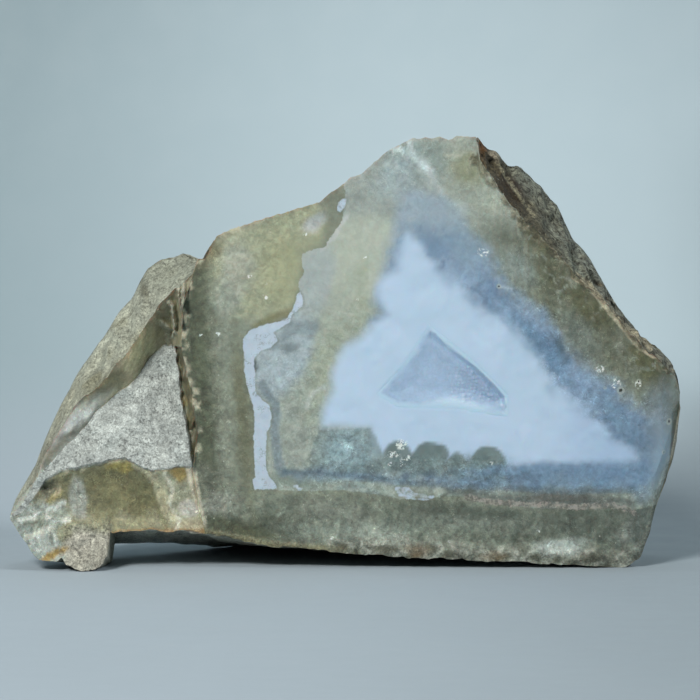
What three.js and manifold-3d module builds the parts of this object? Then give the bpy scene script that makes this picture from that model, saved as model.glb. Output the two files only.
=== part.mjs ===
// A hand specimen of chalcedony: one broken stone with a flat face in front, a lumpy wing of matrix on its
// left, a brown rind along its upper right edge and a small three-cornered hollow lined with quartz druse.
//
// Units are millimetres and +Z is up. x runs along the stone's length. In the lists below, depth is measured
// straight back from the flat face, and height from the surface that the stone lies on.

import * as THREE from 'three';
import { mergeVertices } from 'three/addons/utils/BufferGeometryUtils.js';
import ManifoldModule from 'manifold-3d';

// ---------------------------------------------------------------- driving dimensions

const LEFT_END = -56.1;
const RIGHT_END = 56.2;
const ARCH_HEIGHT = 6.3; // of the lower edge over the arch, left of the middle
const CRACK_X = -25.7; // the crack between the wing and the flat face, at its mean position
const PEAK_X = 22.1; // right of the peak the brown rind shows beside the face
const TOP_DROP = 0.8; // how far the top falls away behind the face's upper edge
const HALF_DEPTH = 20.7; // sets the stone over the origin
const SEAT_GAP = 0.3; // between the hollow's wall and its druse

// [x, height] of the skyline, the upper outline of the stone
const SKYLINE = [
  [-56.1, 8.9], [-55.3, 11.3], [-52.1, 17], [-49.7, 23.1], [-47.2, 28.1], [-44.4, 33.2], [-40.2, 39.1],
  [-38.3, 42.3], [-36, 44.8], [-34.4, 47.9], [-33.3, 49.9], [-31.2, 51.3], [-27.5, 52.3], [-24.3, 51.8],
  [-22, 55.6], [-14.5, 58.3], [-4.2, 61.3], [0.8, 65.3], [2.5, 65.8], [7.1, 69.8], [11.1, 71.9],
  [15.8, 72.1], [17.3, 71.6], [18.6, 72.3], [22.1, 72.1], [23.4, 70.4], [25.2, 69.7], [27.3, 67.4],
  [29.5, 66.9], [33.2, 63.6], [34.7, 61.4], [35.9, 60.4], [38.6, 54.9], [41.5, 51.5], [45.6, 43.9],
  [49.7, 38.6], [52.2, 37], [54.6, 34.6], [55.9, 31.8], [56.2, 29.5],
];

// [x, height] of the lower front edge: knob, foot with its upright inner wall, arch, right end
const LOWER_EDGE = [
  [-56.1, 8.2], [-54, 5.2], [-51.2, 1.7], [-47.5, 1.5], [-46.6, 0.2], [-43.2, 0], [-40.3, 0.2],
  [-39.5, 1.7], [-39.2, 6.1], [-35.1, 6.5], [-27.6, 6.3], [-21.7, 5.5], [-12.6, 3.8], [0.8, 2.6],
  [9.2, 1.9], [18.4, 1.5], [30.9, 0.9], [42.8, 0.3], [45.4, 0], [47.1, 0.1], [49.6, 1.8], [51.1, 5.8],
  [52, 9.9], [53.4, 13.7], [55, 17.5], [55.8, 21.3], [56.2, 26.5],
];

// [x, height] of the wing's ridge, the line between its outer strip and the dark band
const WING_RIDGE = [
  [-56.1, 8.7], [-55.3, 10.6], [-51.8, 14.9], [-49.6, 19.9], [-47.6, 23.3], [-44.2, 28.3], [-40.9, 30.8],
  [-35.8, 36.7], [-32.5, 41.7], [-30, 45], [-27.1, 47.5], [-25, 50.6],
];

// [x, height] of the valley under the dark band; on the face it is only a construction line
const VALLEY = [
  [-56.1, 8.6], [-54, 11], [-50.9, 16.1], [-47.6, 19.6], [-44.3, 22.9], [-41.8, 26.1], [-37.7, 29.7],
  [-35.2, 31.7], [-32.8, 35.1], [-29.4, 37.4], [-20, 37], [30, 36], [50, 30], [56.2, 28.6],
];

// [x, height] of the ledge where the wing's bright plane breaks off above the scalloped chalcedony
const LEDGE = [
  [-56.1, 8.4], [-54, 9.5], [-50, 15.1], [-47.5, 16.8], [-40.8, 18.3], [-36.6, 19], [-32.5, 16.8],
  [-26.6, 17.6], [-15, 13], [35, 10.5], [48, 11], [52, 16], [56.2, 27.5],
];

// [x, height] of the rind's inner edge, right of the peak
const RIND_EDGE = [
  [22.1, 71.6], [22.5, 68.3], [25.8, 63.8], [29.9, 58.7], [32.4, 56.7], [35.8, 52], [42.5, 45.2],
  [47.8, 39.2], [52.5, 34.7], [55.4, 32], [56.2, 29.1],
];

// [x, depth] of those lines behind the flat face; the wing stands a little in front of it
const LOWER_EDGE_DEPTH = [
  [-56.1, 1.5], [-54, 0], [-51, -2], [-46.6, -3.4], [-42, -3.8], [-39.5, -3], [-39.2, -1.2], [-26, 0],
  [-24, 0.8], [42, 0.8], [46, 1.5], [51, 2.2], [56.2, 4.5],
];
const ARCH_DEPTH = [
  [-56.1, 1.4], [-54, 0.2], [-50, -1.7], [-45, -2.4], [-39.2, -1.2], [-26, 0.2], [-24, 0.8],
];
const LEDGE_DEPTH = [
  [-56.1, 1.2], [-52, -1], [-50, -2], [-44, -2.5], [-36, -2.5], [-30, -2], [-26.2, -1.5], [-25.2, 0],
  [49, 0], [53, 1.4], [56.2, 4.2],
];
const VALLEY_DEPTH = [
  [-56.1, 1.2], [-50.9, -1.6], [-47.6, -1.3], [-44.3, -0.4], [-37.7, 1.9], [-32.8, 4.8], [-29.4, 6.2],
  [-28, 6.4], [-26.6, 4], [-25.8, 0.4], [-24.6, 0], [49, 0], [53, 1.2], [56.2, 4.1],
];
const FACE_EDGE_DEPTH = [
  [-56.1, 1.4], [-52, -1], [-49, -2.2], [-44, -2.2], [-38, -1.5], [-33, -0.3], [-27, 0.2], [-24, 0.5],
  [22, 0.5], [49, 0.3], [53, 1.4], [56.2, 4.1],
];
const CREST_DEPTH = [
  [-56.1, 2], [-53.6, 3], [-50.8, 4.5], [-47, 5.8], [-42, 7.2], [-36, 8.2], [-31, 8.8], [-27.5, 8.4],
  [-26, 6.5], [-24.3, 4.2], [-23, 3], [20, 3], [22.1, 3.4], [25, 7], [27.3, 9], [31, 12], [34, 13],
  [38, 12.6], [45, 10.2], [50, 8], [54, 5.8], [56.2, 5],
];

// [x, depth] of the broken back, and [x, height] of the three lines that shape the underside
const BACK_DEPTH = [
  [-56.1, 8], [-52, 17], [-46, 25], [-38, 32], [-28, 38.5], [-15, 44], [0, 47.5], [15, 47.5], [28, 43.5],
  [40, 36], [48, 28], [53, 19], [56.2, 10.5],
];
const BACK_FOOT = [
  [-56.1, 8.8], [-52, 5.4], [-46, 3.4], [-38, 1.9], [-28, 1.1], [-15, 0.7], [-4, 0.3], [3, -0.5], [10, -0.5],
  [16, 0.2], [25, 1.8], [35, 4.4], [44, 8.6], [50, 14], [54, 20], [56.2, 27.6],
];
const BACK_BELLY = [
  [-56.1, 8.5], [-52, 4.4], [-47, 2.6], [-39.2, 2.2], [-25, 1.5], [-10, 1.2], [8, 1.1], [20, 1.4], [30, 2.2],
  [40, 3.8], [47, 6.6], [51, 11.5], [54, 17.5], [56.2, 27.2],
];
const FRONT_BELLY = [
  [-56.1, 8.3], [-54, 5.4], [-51, 2.2], [-47.2, 0.3], [-46, -0.5], [-41, -0.5], [-39.5, 0.3],
  [-39.2, 5.4], [-25, 4.8], [-21, 3.4], [-10, 2], [15, 1.4], [28, 1.2], [38, 1], [42.5, -0.2], [44, -0.7],
  [47.4, -0.4], [50, 3.6], [52, 9.2], [54, 14.6], [56.2, 26.8],
];

// [height, x] of the crack between the wing and the flat face
const CRACK_PATH = [
  [6, -23.4], [10, -24.3], [16.7, -25.4], [23, -24.8], [30, -25.8], [36.7, -27.3], [44, -27], [51.6, -24.6],
];
const CRACK_REACH = 4.5; // how far to each side the skin follows it

// The wing's relief: the scallop's x where it starts, is full and ends, and how far it is hollowed; the
// knob and the crevice above it, each with its middle, half sizes and how far it rises or sinks
const SCALLOP = { start: -53, full: -48, end: -31, deep: 1.6, shallow: 0.7 };
const KNOB = { x: -51.2, height: 6, halfWidth: 3, halfHeight: 3.4, rise: 1.3 };
const CREVICE = { x: -49.6, height: 13.6, halfWidth: 1.9, halfHeight: 1, sink: 2 };
const WING_LUMPS = { size: 2.2, rise: 0.25 };
const BROKEN_EDGE = { size: 2, forward: 1.5, up: 0.7 }; // ledges of the outer strip and the rind
const SLIVER = { beside: 1.4, halfWidth: 0.5, rise: 3.4 }; // the thin flake in the recess beside the crack
const BACK_LUMPS = { size: 6.5, rise: 0.9 };
const BACK_CRAGS = { size: 4.2, rise: 1.5 };

// Broken faces of the back: the way each looks, and how far it lies from the body's middle
const BODY_MIDDLE = new THREE.Vector3(2, 18, 30);
const BREAKS = [
  { azimuth: 4, elevation: 3, reach: 25.5 },
  { azimuth: -46, elevation: 22, reach: 25.5 },
  { azimuth: 46, elevation: 20, reach: 29.5 },
  { azimuth: 8, elevation: 50, reach: 26.5 },
  { azimuth: -40, elevation: -28, reach: 35.5 },
  { azimuth: 44, elevation: -30, reach: 37 },
  { azimuth: -84, elevation: 30, reach: 38 },
];

// The hollow: its rim on the face and the outline of its sloping floor, as [x, height]
const HOLLOW_RIM = [
  [5.8, 29.4], [8.8, 27.5], [18.4, 27.3], [26.9, 25.8], [26.9, 28.9], [21.9, 34], [14.2, 40.1], [9.6, 33.5],
];
const HOLLOW_FLOOR = [
  [7.9, 29.7], [9.5, 28.7], [18.5, 28.6], [25.7, 27.4],
  [25.7, 28.7], [21.2, 33.1], [14.2, 38.6], [10.6, 33.1],
];
const FLOOR_CORNER = { x: 6.3, height: 29.5, depth: 1.7 }; // the floor's shallow left corner
const FLOOR_FALL = { x: 0.06, height: 0.07 }; // how fast the floor deepens to the right and upward
const HOLLOW_MIDDLE = new THREE.Vector2(17, 31);
const DRUSE_THICKNESS = 0.7;
const DRUSE_POINTS = 0.55; // height of the crystals that stand on the crust
const DRUSE_PITCH = 1.1; // from one crystal to the next
const DRUSE_FIELD = { left: 4, right: 28, low: 25, high: 41, back: 12 }; // the slab before it is cut to fit

// How finely the skin is divided: runs of x, each from, to and in so many steps, and rows along each ring
const STATION_RUNS = [
  [-56.1, -41, 10], [-41, -39.2, 4], [-39.2, -28.5, 7], [-28.5, -24.1, 8], [-24.1, 50, 32], [50, 56.2, 8],
];
const FRONT_ROWS = [8, 8, 8, 6]; // lower edge, ledge, valley, face edge, crest
const BACK_ROWS = 26;

// ---------------------------------------------------------------- small helpers

// Height or depth of a line at x, straight between its points.
function along(line, x) {
  if (x <= line[0][0]) return line[0][1];
  for (let i = 1; i < line.length; i++) {
    const [x1, v1] = line[i];
    if (x > x1) continue;
    const [x0, v0] = line[i - 1];
    return v0 + ((v1 - v0) * (x - x0)) / (x1 - x0);
  }
  return line[line.length - 1][1];
}

// Rolling lumps between -1 and 1: three crossed waves, each bent by another.
function lumps(x, y, z, size) {
  const u = x / size;
  const v = y / size;
  const w = z / size;
  const a = Math.sin(2.1 * u + 1.3 * Math.sin(1.7 * w + 0.6) + 0.4);
  const b = Math.sin(1.9 * v + 1.5 * Math.sin(1.4 * u + 2.1) + 1.9);
  const c = Math.sin(2.3 * w + 1.2 * Math.sin(1.8 * v + 0.9) + 3.1);
  return (a + b + c) / 3;
}

// Sharp-crested version of the same lumps, between 0 and 1, for ledges and crevices.
function crags(x, y, z, size) {
  return 1 - Math.abs(lumps(x, y, z, size));
}

// ---------------------------------------------------------------- the stone's skin

// Height of the upper edge of the front: the wing's ridge, then the skyline, then the rind's inner edge.
function faceEdgeHeight(x) {
  if (x < CRACK_X) return along(WING_RIDGE, x);
  if (x > PEAK_X) return along(RIND_EDGE, x);
  return along(SKYLINE, x);
}

// Height of the crest, the highest line behind that edge.
function crestHeight(x) {
  const between = x > CRACK_X && x < PEAK_X;
  return along(SKYLINE, x) - (between ? TOP_DROP : 0);
}

// The front's five lines at x as points of depth and height, from the lower edge up to the crest.
function frontLines(x) {
  return [
    new THREE.Vector2(along(LOWER_EDGE_DEPTH, x), along(LOWER_EDGE, x)),
    new THREE.Vector2(along(LEDGE_DEPTH, x), along(LEDGE, x)),
    new THREE.Vector2(along(VALLEY_DEPTH, x), along(VALLEY, x)),
    new THREE.Vector2(along(FACE_EDGE_DEPTH, x), faceEdgeHeight(x)),
    new THREE.Vector2(along(CREST_DEPTH, x), crestHeight(x)),
  ];
}

// The back and the underside at x: a smooth curve from the crest down and round to the lower front edge.
// Away from the crest it follows the crest's height averaged over some way to each side.
function backCurve(x, crest, lowerEdge) {
  const depth = along(BACK_DEPTH, x);
  const backFoot = along(BACK_FOOT, x);
  const spread = [-7, -3.5, 0, 3.5, 7].map((step) => along(SKYLINE, x + step));
  const top = spread.reduce((sum, height) => sum + height) / spread.length;
  const tall = top - backFoot;
  return new THREE.SplineCurve([
    crest,
    new THREE.Vector2(crest.x + 0.42 * (depth - crest.x), 0.5 * (crest.y + top) - 0.1 * tall),
    new THREE.Vector2(depth - 0.08 * (depth - crest.x), top - 0.34 * tall),
    new THREE.Vector2(depth, top - 0.64 * tall),
    new THREE.Vector2(crest.x + 0.88 * (depth - crest.x), backFoot),
    new THREE.Vector2(0.56 * depth, along(BACK_BELLY, x)),
    new THREE.Vector2(0.24 * depth, along(FRONT_BELLY, x)),
    lowerEdge,
  ]);
}

// Depth of the wing's lowest part at x and height: the foot and the knob below the arch's height, and above
// it the scalloped chalcedony, hollowed most in the middle.
function scallopDepth(x, z, lowerEdge, ledge) {
  const arch = along(ARCH_DEPTH, x);
  if (z < ARCH_HEIGHT) {
    const t = (z - lowerEdge.y) / Math.max(0.1, ARCH_HEIGHT - lowerEdge.y);
    return THREE.MathUtils.lerp(lowerEdge.x, arch, THREE.MathUtils.clamp(t, 0, 1));
  }
  const t = THREE.MathUtils.clamp((z - ARCH_HEIGHT) / Math.max(0.1, ledge.y - ARCH_HEIGHT), 0, 1);
  const deepest = x < SCALLOP.end ? SCALLOP.deep : SCALLOP.shallow;
  const ends = THREE.MathUtils.smoothstep(x, SCALLOP.start, SCALLOP.full);
  return THREE.MathUtils.lerp(arch, ledge.x, t) + deepest * ends * Math.sin(Math.PI * t);
}

// A round bump or dent, 1 at its middle.
function dimple(at, { x, height, halfWidth, halfHeight }) {
  return Math.exp(-(((at.x - x) / halfWidth) ** 2) - ((at.z - height) / halfHeight) ** 2);
}

// Relief of the front, by segment: 0 under the ledge, 1 the bright plane or face, 2 the dark band or face,
// 3 the wing's outer strip or the rind, which break in ledges along their edge.
function frontRelief(point, segment, t) {
  const bow = Math.sin(Math.PI * t);
  const onWing = point.x < CRACK_X;
  if (onWing && segment < 3) {
    point.y -= KNOB.rise * dimple(point, KNOB);
    point.y += CREVICE.sink * dimple(point, CREVICE);
    point.y += WING_LUMPS.rise * lumps(point.x, 0, point.z, WING_LUMPS.size);
  }
  if (segment === 3 && (point.x > PEAK_X || onWing)) {
    const ledge = crags(0.6 * point.x, point.y, point.z, BROKEN_EDGE.size) - 0.65;
    point.y -= BROKEN_EDGE.forward * bow * ledge;
    point.z += BROKEN_EDGE.up * bow * ledge;
  }
  const besideCrack = (point.x - CRACK_X + SLIVER.beside) / SLIVER.halfWidth;
  const sliver = Math.exp(-(besideCrack ** 2)) * (0.6 + 0.4 * lumps(0, 0, point.z, 1.3));
  if (segment === 2) point.y -= SLIVER.rise * bow * sliver;
}

// Breaks the rounded back into flat fracture faces, then roughens it. hold is 0 at the edges and 1 inside,
// rough is how strongly the stone is roughened there.
function backRelief(point, hold, rough) {
  for (const { azimuth, elevation, reach } of BREAKS) {
    const a = THREE.MathUtils.degToRad(azimuth);
    const e = THREE.MathUtils.degToRad(elevation);
    const facing = new THREE.Vector3(Math.sin(a) * Math.cos(e), Math.cos(a) * Math.cos(e), Math.sin(e));
    const over = facing.dot(point) - facing.dot(BODY_MIDDLE) - reach;
    if (over > 0) point.addScaledVector(facing, -over * hold);
  }
  const out = point.clone().sub(BODY_MIDDLE).normalize();
  const { x, y, z } = point;
  const rolling = BACK_LUMPS.rise * lumps(x, y, z, BACK_LUMPS.size);
  const ridged = BACK_CRAGS.rise * (crags(x, y, z, BACK_CRAGS.size) - 0.7);
  point.addScaledVector(out, rough * (rolling + ridged));
}

// The crack and the wing's right edge wander left and right as they rise; this moves the skin with them.
function wander(x, z) {
  const near = Math.exp(-(((x - CRACK_X) / CRACK_REACH) ** 2));
  return near * (along(CRACK_PATH, z) - CRACK_X);
}

// One ring of skin at x, in order from the lower front edge up the front, over the crest and round the back.
function ringAt(x) {
  const ring = [];
  const lines = frontLines(x);
  for (let segment = 0; segment < 4; segment++) {
    for (let row = 0; row < FRONT_ROWS[segment]; row++) {
      const t = row / FRONT_ROWS[segment];
      const flat = lines[segment].clone().lerp(lines[segment + 1], t);
      const point = new THREE.Vector3(x, flat.x, flat.y);
      if (segment === 0 && x < CRACK_X) point.y = scallopDepth(x, point.z, lines[0], lines[1]);
      frontRelief(point, segment, t);
      point.x += wander(x, point.z);
      ring.push(point);
    }
  }
  const back = backCurve(x, lines[4], lines[0]);
  const fade = Math.max(0, Math.min(1, (RIGHT_END - Math.abs(x)) / 6));
  for (let row = 0; row < BACK_ROWS; row++) {
    const t = row / BACK_ROWS;
    const flat = back.getPoint(t);
    const point = new THREE.Vector3(x, flat.x, flat.y);
    const hold = Math.min(1, 8 * t, 8 * (1 - t));
    backRelief(point, hold, hold * fade * (t > 0.6 ? 0.3 : 1));
    point.z = Math.max(point.z, 0);
    ring.push(point);
  }
  return ring;
}

// The x of every ring, closer together at the crack, the foot's wall and the ends.
function stations() {
  const list = [LEFT_END];
  for (const [from, to, steps] of STATION_RUNS) {
    for (let i = 1; i <= steps; i++) list.push(from + ((to - from) * i) / steps);
  }
  return list;
}

// Closed skin: rings joined side by side, and each end drawn together to a point.
function stoneSkin() {
  const rings = stations().map(ringAt);
  const first = rings[0];
  const last = rings[rings.length - 1];
  const middle = (ring) => ring.reduce((sum, p) => sum.add(p), new THREE.Vector3()).divideScalar(ring.length);
  const shrink = (ring, share) => ring.map((p) => p.clone().lerp(middle(ring), share));
  rings.unshift(shrink(first, 0.5));
  rings.push(shrink(last, 0.35), shrink(last, 0.7));
  const count = first.length;
  const points = rings.flat();
  points.push(middle(first), middle(last));
  const faces = [];
  for (let i = 0; i < rings.length - 1; i++) {
    for (let j = 0; j < count; j++) {
      const a = i * count + j;
      const b = i * count + ((j + 1) % count);
      faces.push(a, a + count, b, b, a + count, b + count);
    }
  }
  const end = (rings.length - 1) * count;
  for (let j = 0; j < count; j++) {
    const k = (j + 1) % count;
    faces.push(points.length - 2, j, k, points.length - 1, end + k, end + j);
  }
  return { points, faces };
}

// ---------------------------------------------------------------- solids

function geometryOf({ points, faces }) {
  const geometry = new THREE.BufferGeometry().setFromPoints(points);
  geometry.setIndex(faces);
  return geometry;
}

const wasm = await ManifoldModule();
wasm.setup();

// A manifold-3d solid from a closed geometry.
function solidOf(geometry) {
  const bare = geometry.clone();
  bare.deleteAttribute('normal');
  bare.deleteAttribute('uv');
  const welded = mergeVertices(bare, 1e-4);
  const vertProperties = new Float32Array(welded.attributes.position.array);
  const triVerts = new Uint32Array(welded.index.array);
  return new wasm.Manifold(new wasm.Mesh({ numProp: 3, vertProperties, triVerts }));
}

// A geometry from a manifold-3d solid.
function geometryFrom(solid) {
  const mesh = solid.getMesh();
  const geometry = new THREE.BufferGeometry();
  geometry.setAttribute('position', new THREE.BufferAttribute(mesh.vertProperties, 3));
  geometry.setIndex(new THREE.BufferAttribute(mesh.triVerts, 1));
  return geometry;
}

// Depth of the hollow's floor, a plane that deepens to the right and upward.
function floorDepth(x, z) {
  const { x: cornerX, height, depth } = FLOOR_CORNER;
  return depth + FLOOR_FALL.x * (x - cornerX) + FLOOR_FALL.height * (z - height);
}

// Solid between two matching outlines, each closed by a fan from its middle.
function closedPrism(front, back) {
  const n = front.length;
  const middle = (list) => list.reduce((sum, p) => sum.add(p), new THREE.Vector3()).divideScalar(n);
  const points = [...front, ...back, middle(front), middle(back)];
  const faces = [];
  for (let i = 0; i < n; i++) {
    const j = (i + 1) % n;
    faces.push(i, n + i, j, j, n + i, n + j);
    faces.push(2 * n, i, j, 2 * n + 1, n + j, n + i);
  }
  return { points, faces };
}

// The space of the hollow, drawn in by a margin all round: from in front of the face back to the floor.
function hollowSpace(margin) {
  const slant = 1.4; // corners move in further than edges do
  const lip = 0.4;
  const inFront = -2;
  const corner = ([x, z], depthAt) => {
    const flat = new THREE.Vector2(x, z).sub(HOLLOW_MIDDLE);
    flat.setLength(flat.length() - slant * margin).add(HOLLOW_MIDDLE);
    return new THREE.Vector3(flat.x, depthAt(flat.x, flat.y) - margin, flat.y);
  };
  const rim = HOLLOW_RIM.map((at) => corner(at, () => lip));
  const floor = HOLLOW_FLOOR.map((at) => corner(at, floorDepth));
  const mouth = rim.map((p) => p.clone().setY(inFront));
  const inner = solidOf(geometryOf(closedPrism(rim, floor)));
  return inner.add(solidOf(geometryOf(closedPrism(mouth, rim))));
}

// Slab behind the druse's surface: a crust over the floor with small blunt points, larger to the right.
function druseSlab() {
  const { left, right, low, high, back } = DRUSE_FIELD;
  const columns = Math.round((right - left) / DRUSE_PITCH) * 2;
  const rows = Math.round((high - low) / DRUSE_PITCH) * 2;
  const points = [];
  for (const surface of [true, false]) {
    for (let i = 0; i <= columns; i++) {
      for (let j = 0; j <= rows; j++) {
        const x = left + ((right - left) * i) / columns;
        const z = low + ((high - low) * j) / rows;
        const onPoint = i % 2 === 1 && j % 2 === 1;
        const tip = onPoint ? 0.75 + 0.25 * lumps(x, 0, z, 0.7) : 0;
        const growth = THREE.MathUtils.lerp(0.35, 1, (x - left) / (right - left));
        const crust = floorDepth(x, z) - SEAT_GAP - DRUSE_THICKNESS - DRUSE_POINTS * tip * growth;
        points.push(new THREE.Vector3(x, surface ? crust : back, z));
      }
    }
  }
  const faces = [];
  const at = (side, i, j) => (side * (columns + 1) + i) * (rows + 1) + j;
  const quad = (a, b, c, d) => faces.push(a, b, c, a, c, d);
  for (let i = 0; i < columns; i++) {
    for (let j = 0; j < rows; j++) {
      quad(at(0, i, j), at(0, i + 1, j), at(0, i + 1, j + 1), at(0, i, j + 1));
      quad(at(1, i, j), at(1, i, j + 1), at(1, i + 1, j + 1), at(1, i + 1, j));
    }
  }
  for (let i = 0; i < columns; i++) {
    quad(at(0, i + 1, 0), at(0, i, 0), at(1, i, 0), at(1, i + 1, 0));
    quad(at(0, i, rows), at(0, i + 1, rows), at(1, i + 1, rows), at(1, i, rows));
  }
  for (let j = 0; j < rows; j++) {
    quad(at(0, 0, j), at(0, 0, j + 1), at(1, 0, j + 1), at(1, 0, j));
    quad(at(0, columns, j + 1), at(0, columns, j), at(1, columns, j), at(1, columns, j + 1));
  }
  return { points, faces };
}

function makeStone() {
  const whole = solidOf(geometryOf(stoneSkin()));
  const geometry = geometryFrom(whole.subtract(hollowSpace(0)));
  const material = new THREE.MeshStandardMaterial({ color: 0x8f9b8c, roughness: 0.55, metalness: 0 });
  const mesh = new THREE.Mesh(geometry, material);
  mesh.name = 'chalcedony_stone';
  return mesh;
}

function makeDruse() {
  const slab = solidOf(geometryOf(druseSlab()));
  const geometry = geometryFrom(slab.intersect(hollowSpace(SEAT_GAP)));
  const material = new THREE.MeshStandardMaterial({ color: 0x96aec6, roughness: 0.3, metalness: 0 });
  const mesh = new THREE.Mesh(geometry, material);
  mesh.name = 'hollow_druse';
  return mesh;
}

const specimen = new THREE.Group();
specimen.add(makeStone(), makeDruse());
specimen.position.y = -HALF_DEPTH;

export default specimen;
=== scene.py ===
"""Chalcedony hand specimen: its broken skin, colour zones, druse-lined hollow, floor and light.

Lengths in the lists below are millimetres. x runs along the stone, height is above the floor and depth is
measured straight back from the flat face. to_frame() turns them into metres in the model's own frame.
"""

import math

import bpy
import numpy as np
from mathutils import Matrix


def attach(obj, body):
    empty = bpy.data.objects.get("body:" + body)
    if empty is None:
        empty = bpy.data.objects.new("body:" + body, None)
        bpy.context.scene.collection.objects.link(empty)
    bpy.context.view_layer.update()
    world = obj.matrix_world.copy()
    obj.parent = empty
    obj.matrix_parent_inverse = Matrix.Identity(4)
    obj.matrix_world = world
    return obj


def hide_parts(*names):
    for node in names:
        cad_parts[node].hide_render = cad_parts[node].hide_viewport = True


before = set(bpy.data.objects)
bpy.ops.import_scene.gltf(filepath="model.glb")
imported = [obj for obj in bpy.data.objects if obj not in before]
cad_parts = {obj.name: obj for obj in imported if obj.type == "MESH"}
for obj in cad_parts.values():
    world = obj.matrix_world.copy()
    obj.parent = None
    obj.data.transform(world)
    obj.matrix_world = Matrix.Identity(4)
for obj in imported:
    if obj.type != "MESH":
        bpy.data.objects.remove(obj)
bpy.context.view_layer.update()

# ------------------------------------------------------------------ the stone's driving lines

MM = 0.001
HALF_DEPTH = 20.7
ARCH_HEIGHT = 6.3
CRACK_X = -25.7
PEAK_X = 22.1
TOP_DROP = 0.8
LEFT_END, RIGHT_END = -56.1, 56.2

# [x, height] of the skyline
SKYLINE = [
    [-56.1, 8.9], [-55.3, 11.3], [-52.1, 17], [-49.7, 23.1], [-47.2, 28.1], [-44.4, 33.2], [-40.2, 39.1],
    [-38.3, 42.3], [-36, 44.8], [-34.4, 47.9], [-33.3, 49.9], [-31.2, 51.3], [-27.5, 52.3], [-24.3, 51.8],
    [-22, 55.6], [-14.5, 58.3], [-4.2, 61.3], [0.8, 65.3], [2.5, 65.8], [7.1, 69.8], [11.1, 71.9],
    [15.8, 72.1], [17.3, 71.6], [18.6, 72.3], [22.1, 72.1], [23.4, 70.4], [25.2, 69.7], [27.3, 67.4],
    [29.5, 66.9], [33.2, 63.6], [34.7, 61.4], [35.9, 60.4], [38.6, 54.9], [41.5, 51.5], [45.6, 43.9],
    [49.7, 38.6], [52.2, 37], [54.6, 34.6], [55.9, 31.8], [56.2, 29.5],
]
# [x, height] of the lower front edge: knob, foot, arch, right end
LOWER_EDGE = [
    [-56.1, 8.2], [-54, 5.2], [-51.2, 1.7], [-47.5, 1.5], [-46.6, 0.2], [-43.2, 0], [-40.3, 0.2],
    [-39.5, 1.7], [-39.2, 6.1], [-35.1, 6.5], [-27.6, 6.3], [-21.7, 5.5], [-12.6, 3.8], [0.8, 2.6],
    [9.2, 1.9], [18.4, 1.5], [30.9, 0.9], [42.8, 0.3], [45.4, 0], [47.1, 0.1], [49.6, 1.8], [51.1, 5.8],
    [52, 9.9], [53.4, 13.7], [55, 17.5], [55.8, 21.3], [56.2, 26.5],
]
WING_RIDGE = [
    [-56.1, 8.7], [-55.3, 10.6], [-51.8, 14.9], [-49.6, 19.9], [-47.6, 23.3], [-44.2, 28.3], [-40.9, 30.8],
    [-35.8, 36.7], [-32.5, 41.7], [-30, 45], [-27.1, 47.5], [-25, 50.6],
]
VALLEY = [
    [-56.1, 8.6], [-54, 11], [-50.9, 16.1], [-47.6, 19.6], [-44.3, 22.9], [-41.8, 26.1], [-37.7, 29.7],
    [-35.2, 31.7], [-32.8, 35.1], [-29.4, 37.4], [-20, 37], [30, 36], [50, 30], [56.2, 28.6],
]
LEDGE = [
    [-56.1, 8.4], [-54, 9.5], [-50, 15.1], [-47.5, 16.8], [-40.8, 18.3], [-36.6, 19], [-32.5, 16.8],
    [-26.6, 17.6], [-15, 13], [35, 10.5], [48, 11], [52, 16], [56.2, 27.5],
]
RIND_EDGE = [
    [22.1, 71.6], [22.5, 68.3], [25.8, 63.8], [29.9, 58.7], [32.4, 56.7], [35.8, 52], [42.5, 45.2],
    [47.8, 39.2], [52.5, 34.7], [55.4, 32], [56.2, 29.1],
]
# [x, depth] of those lines
LOWER_EDGE_DEPTH = [
    [-56.1, 1.5], [-54, 0], [-51, -2], [-46.6, -3.4], [-42, -3.8], [-39.5, -3], [-39.2, -1.2], [-26, 0],
    [-24, 0.8], [42, 0.8], [46, 1.5], [51, 2.2], [56.2, 4.5],
]
ARCH_DEPTH = [
    [-56.1, 1.4], [-54, 0.2], [-50, -1.7], [-45, -2.4], [-39.2, -1.2], [-26, 0.2], [-24, 0.8],
]
LEDGE_DEPTH = [
    [-56.1, 1.2], [-52, -1], [-50, -2], [-44, -2.5], [-36, -2.5], [-30, -2], [-26.2, -1.5], [-25.2, 0],
    [49, 0], [53, 1.4], [56.2, 4.2],
]
VALLEY_DEPTH = [
    [-56.1, 1.2], [-50.9, -1.6], [-47.6, -1.3], [-44.3, -0.4], [-37.7, 1.9], [-32.8, 4.8], [-29.4, 6.2],
    [-28, 6.4], [-26.6, 4], [-25.8, 0.4], [-24.6, 0], [49, 0], [53, 1.2], [56.2, 4.1],
]
FACE_EDGE_DEPTH = [
    [-56.1, 1.4], [-52, -1], [-49, -2.2], [-44, -2.2], [-38, -1.5], [-33, -0.3], [-27, 0.2], [-24, 0.5],
    [22, 0.5], [49, 0.3], [53, 1.4], [56.2, 4.1],
]
CREST_DEPTH = [
    [-56.1, 2], [-53.6, 3], [-50.8, 4.5], [-47, 5.8], [-42, 7.2], [-36, 8.2], [-31, 8.8], [-27.5, 8.4],
    [-26, 6.5], [-24.3, 4.2], [-23, 3], [20, 3], [22.1, 3.4], [25, 7], [27.3, 9], [31, 12], [34, 13],
    [38, 12.6], [45, 10.2], [50, 8], [54, 5.8], [56.2, 5],
]
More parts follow.
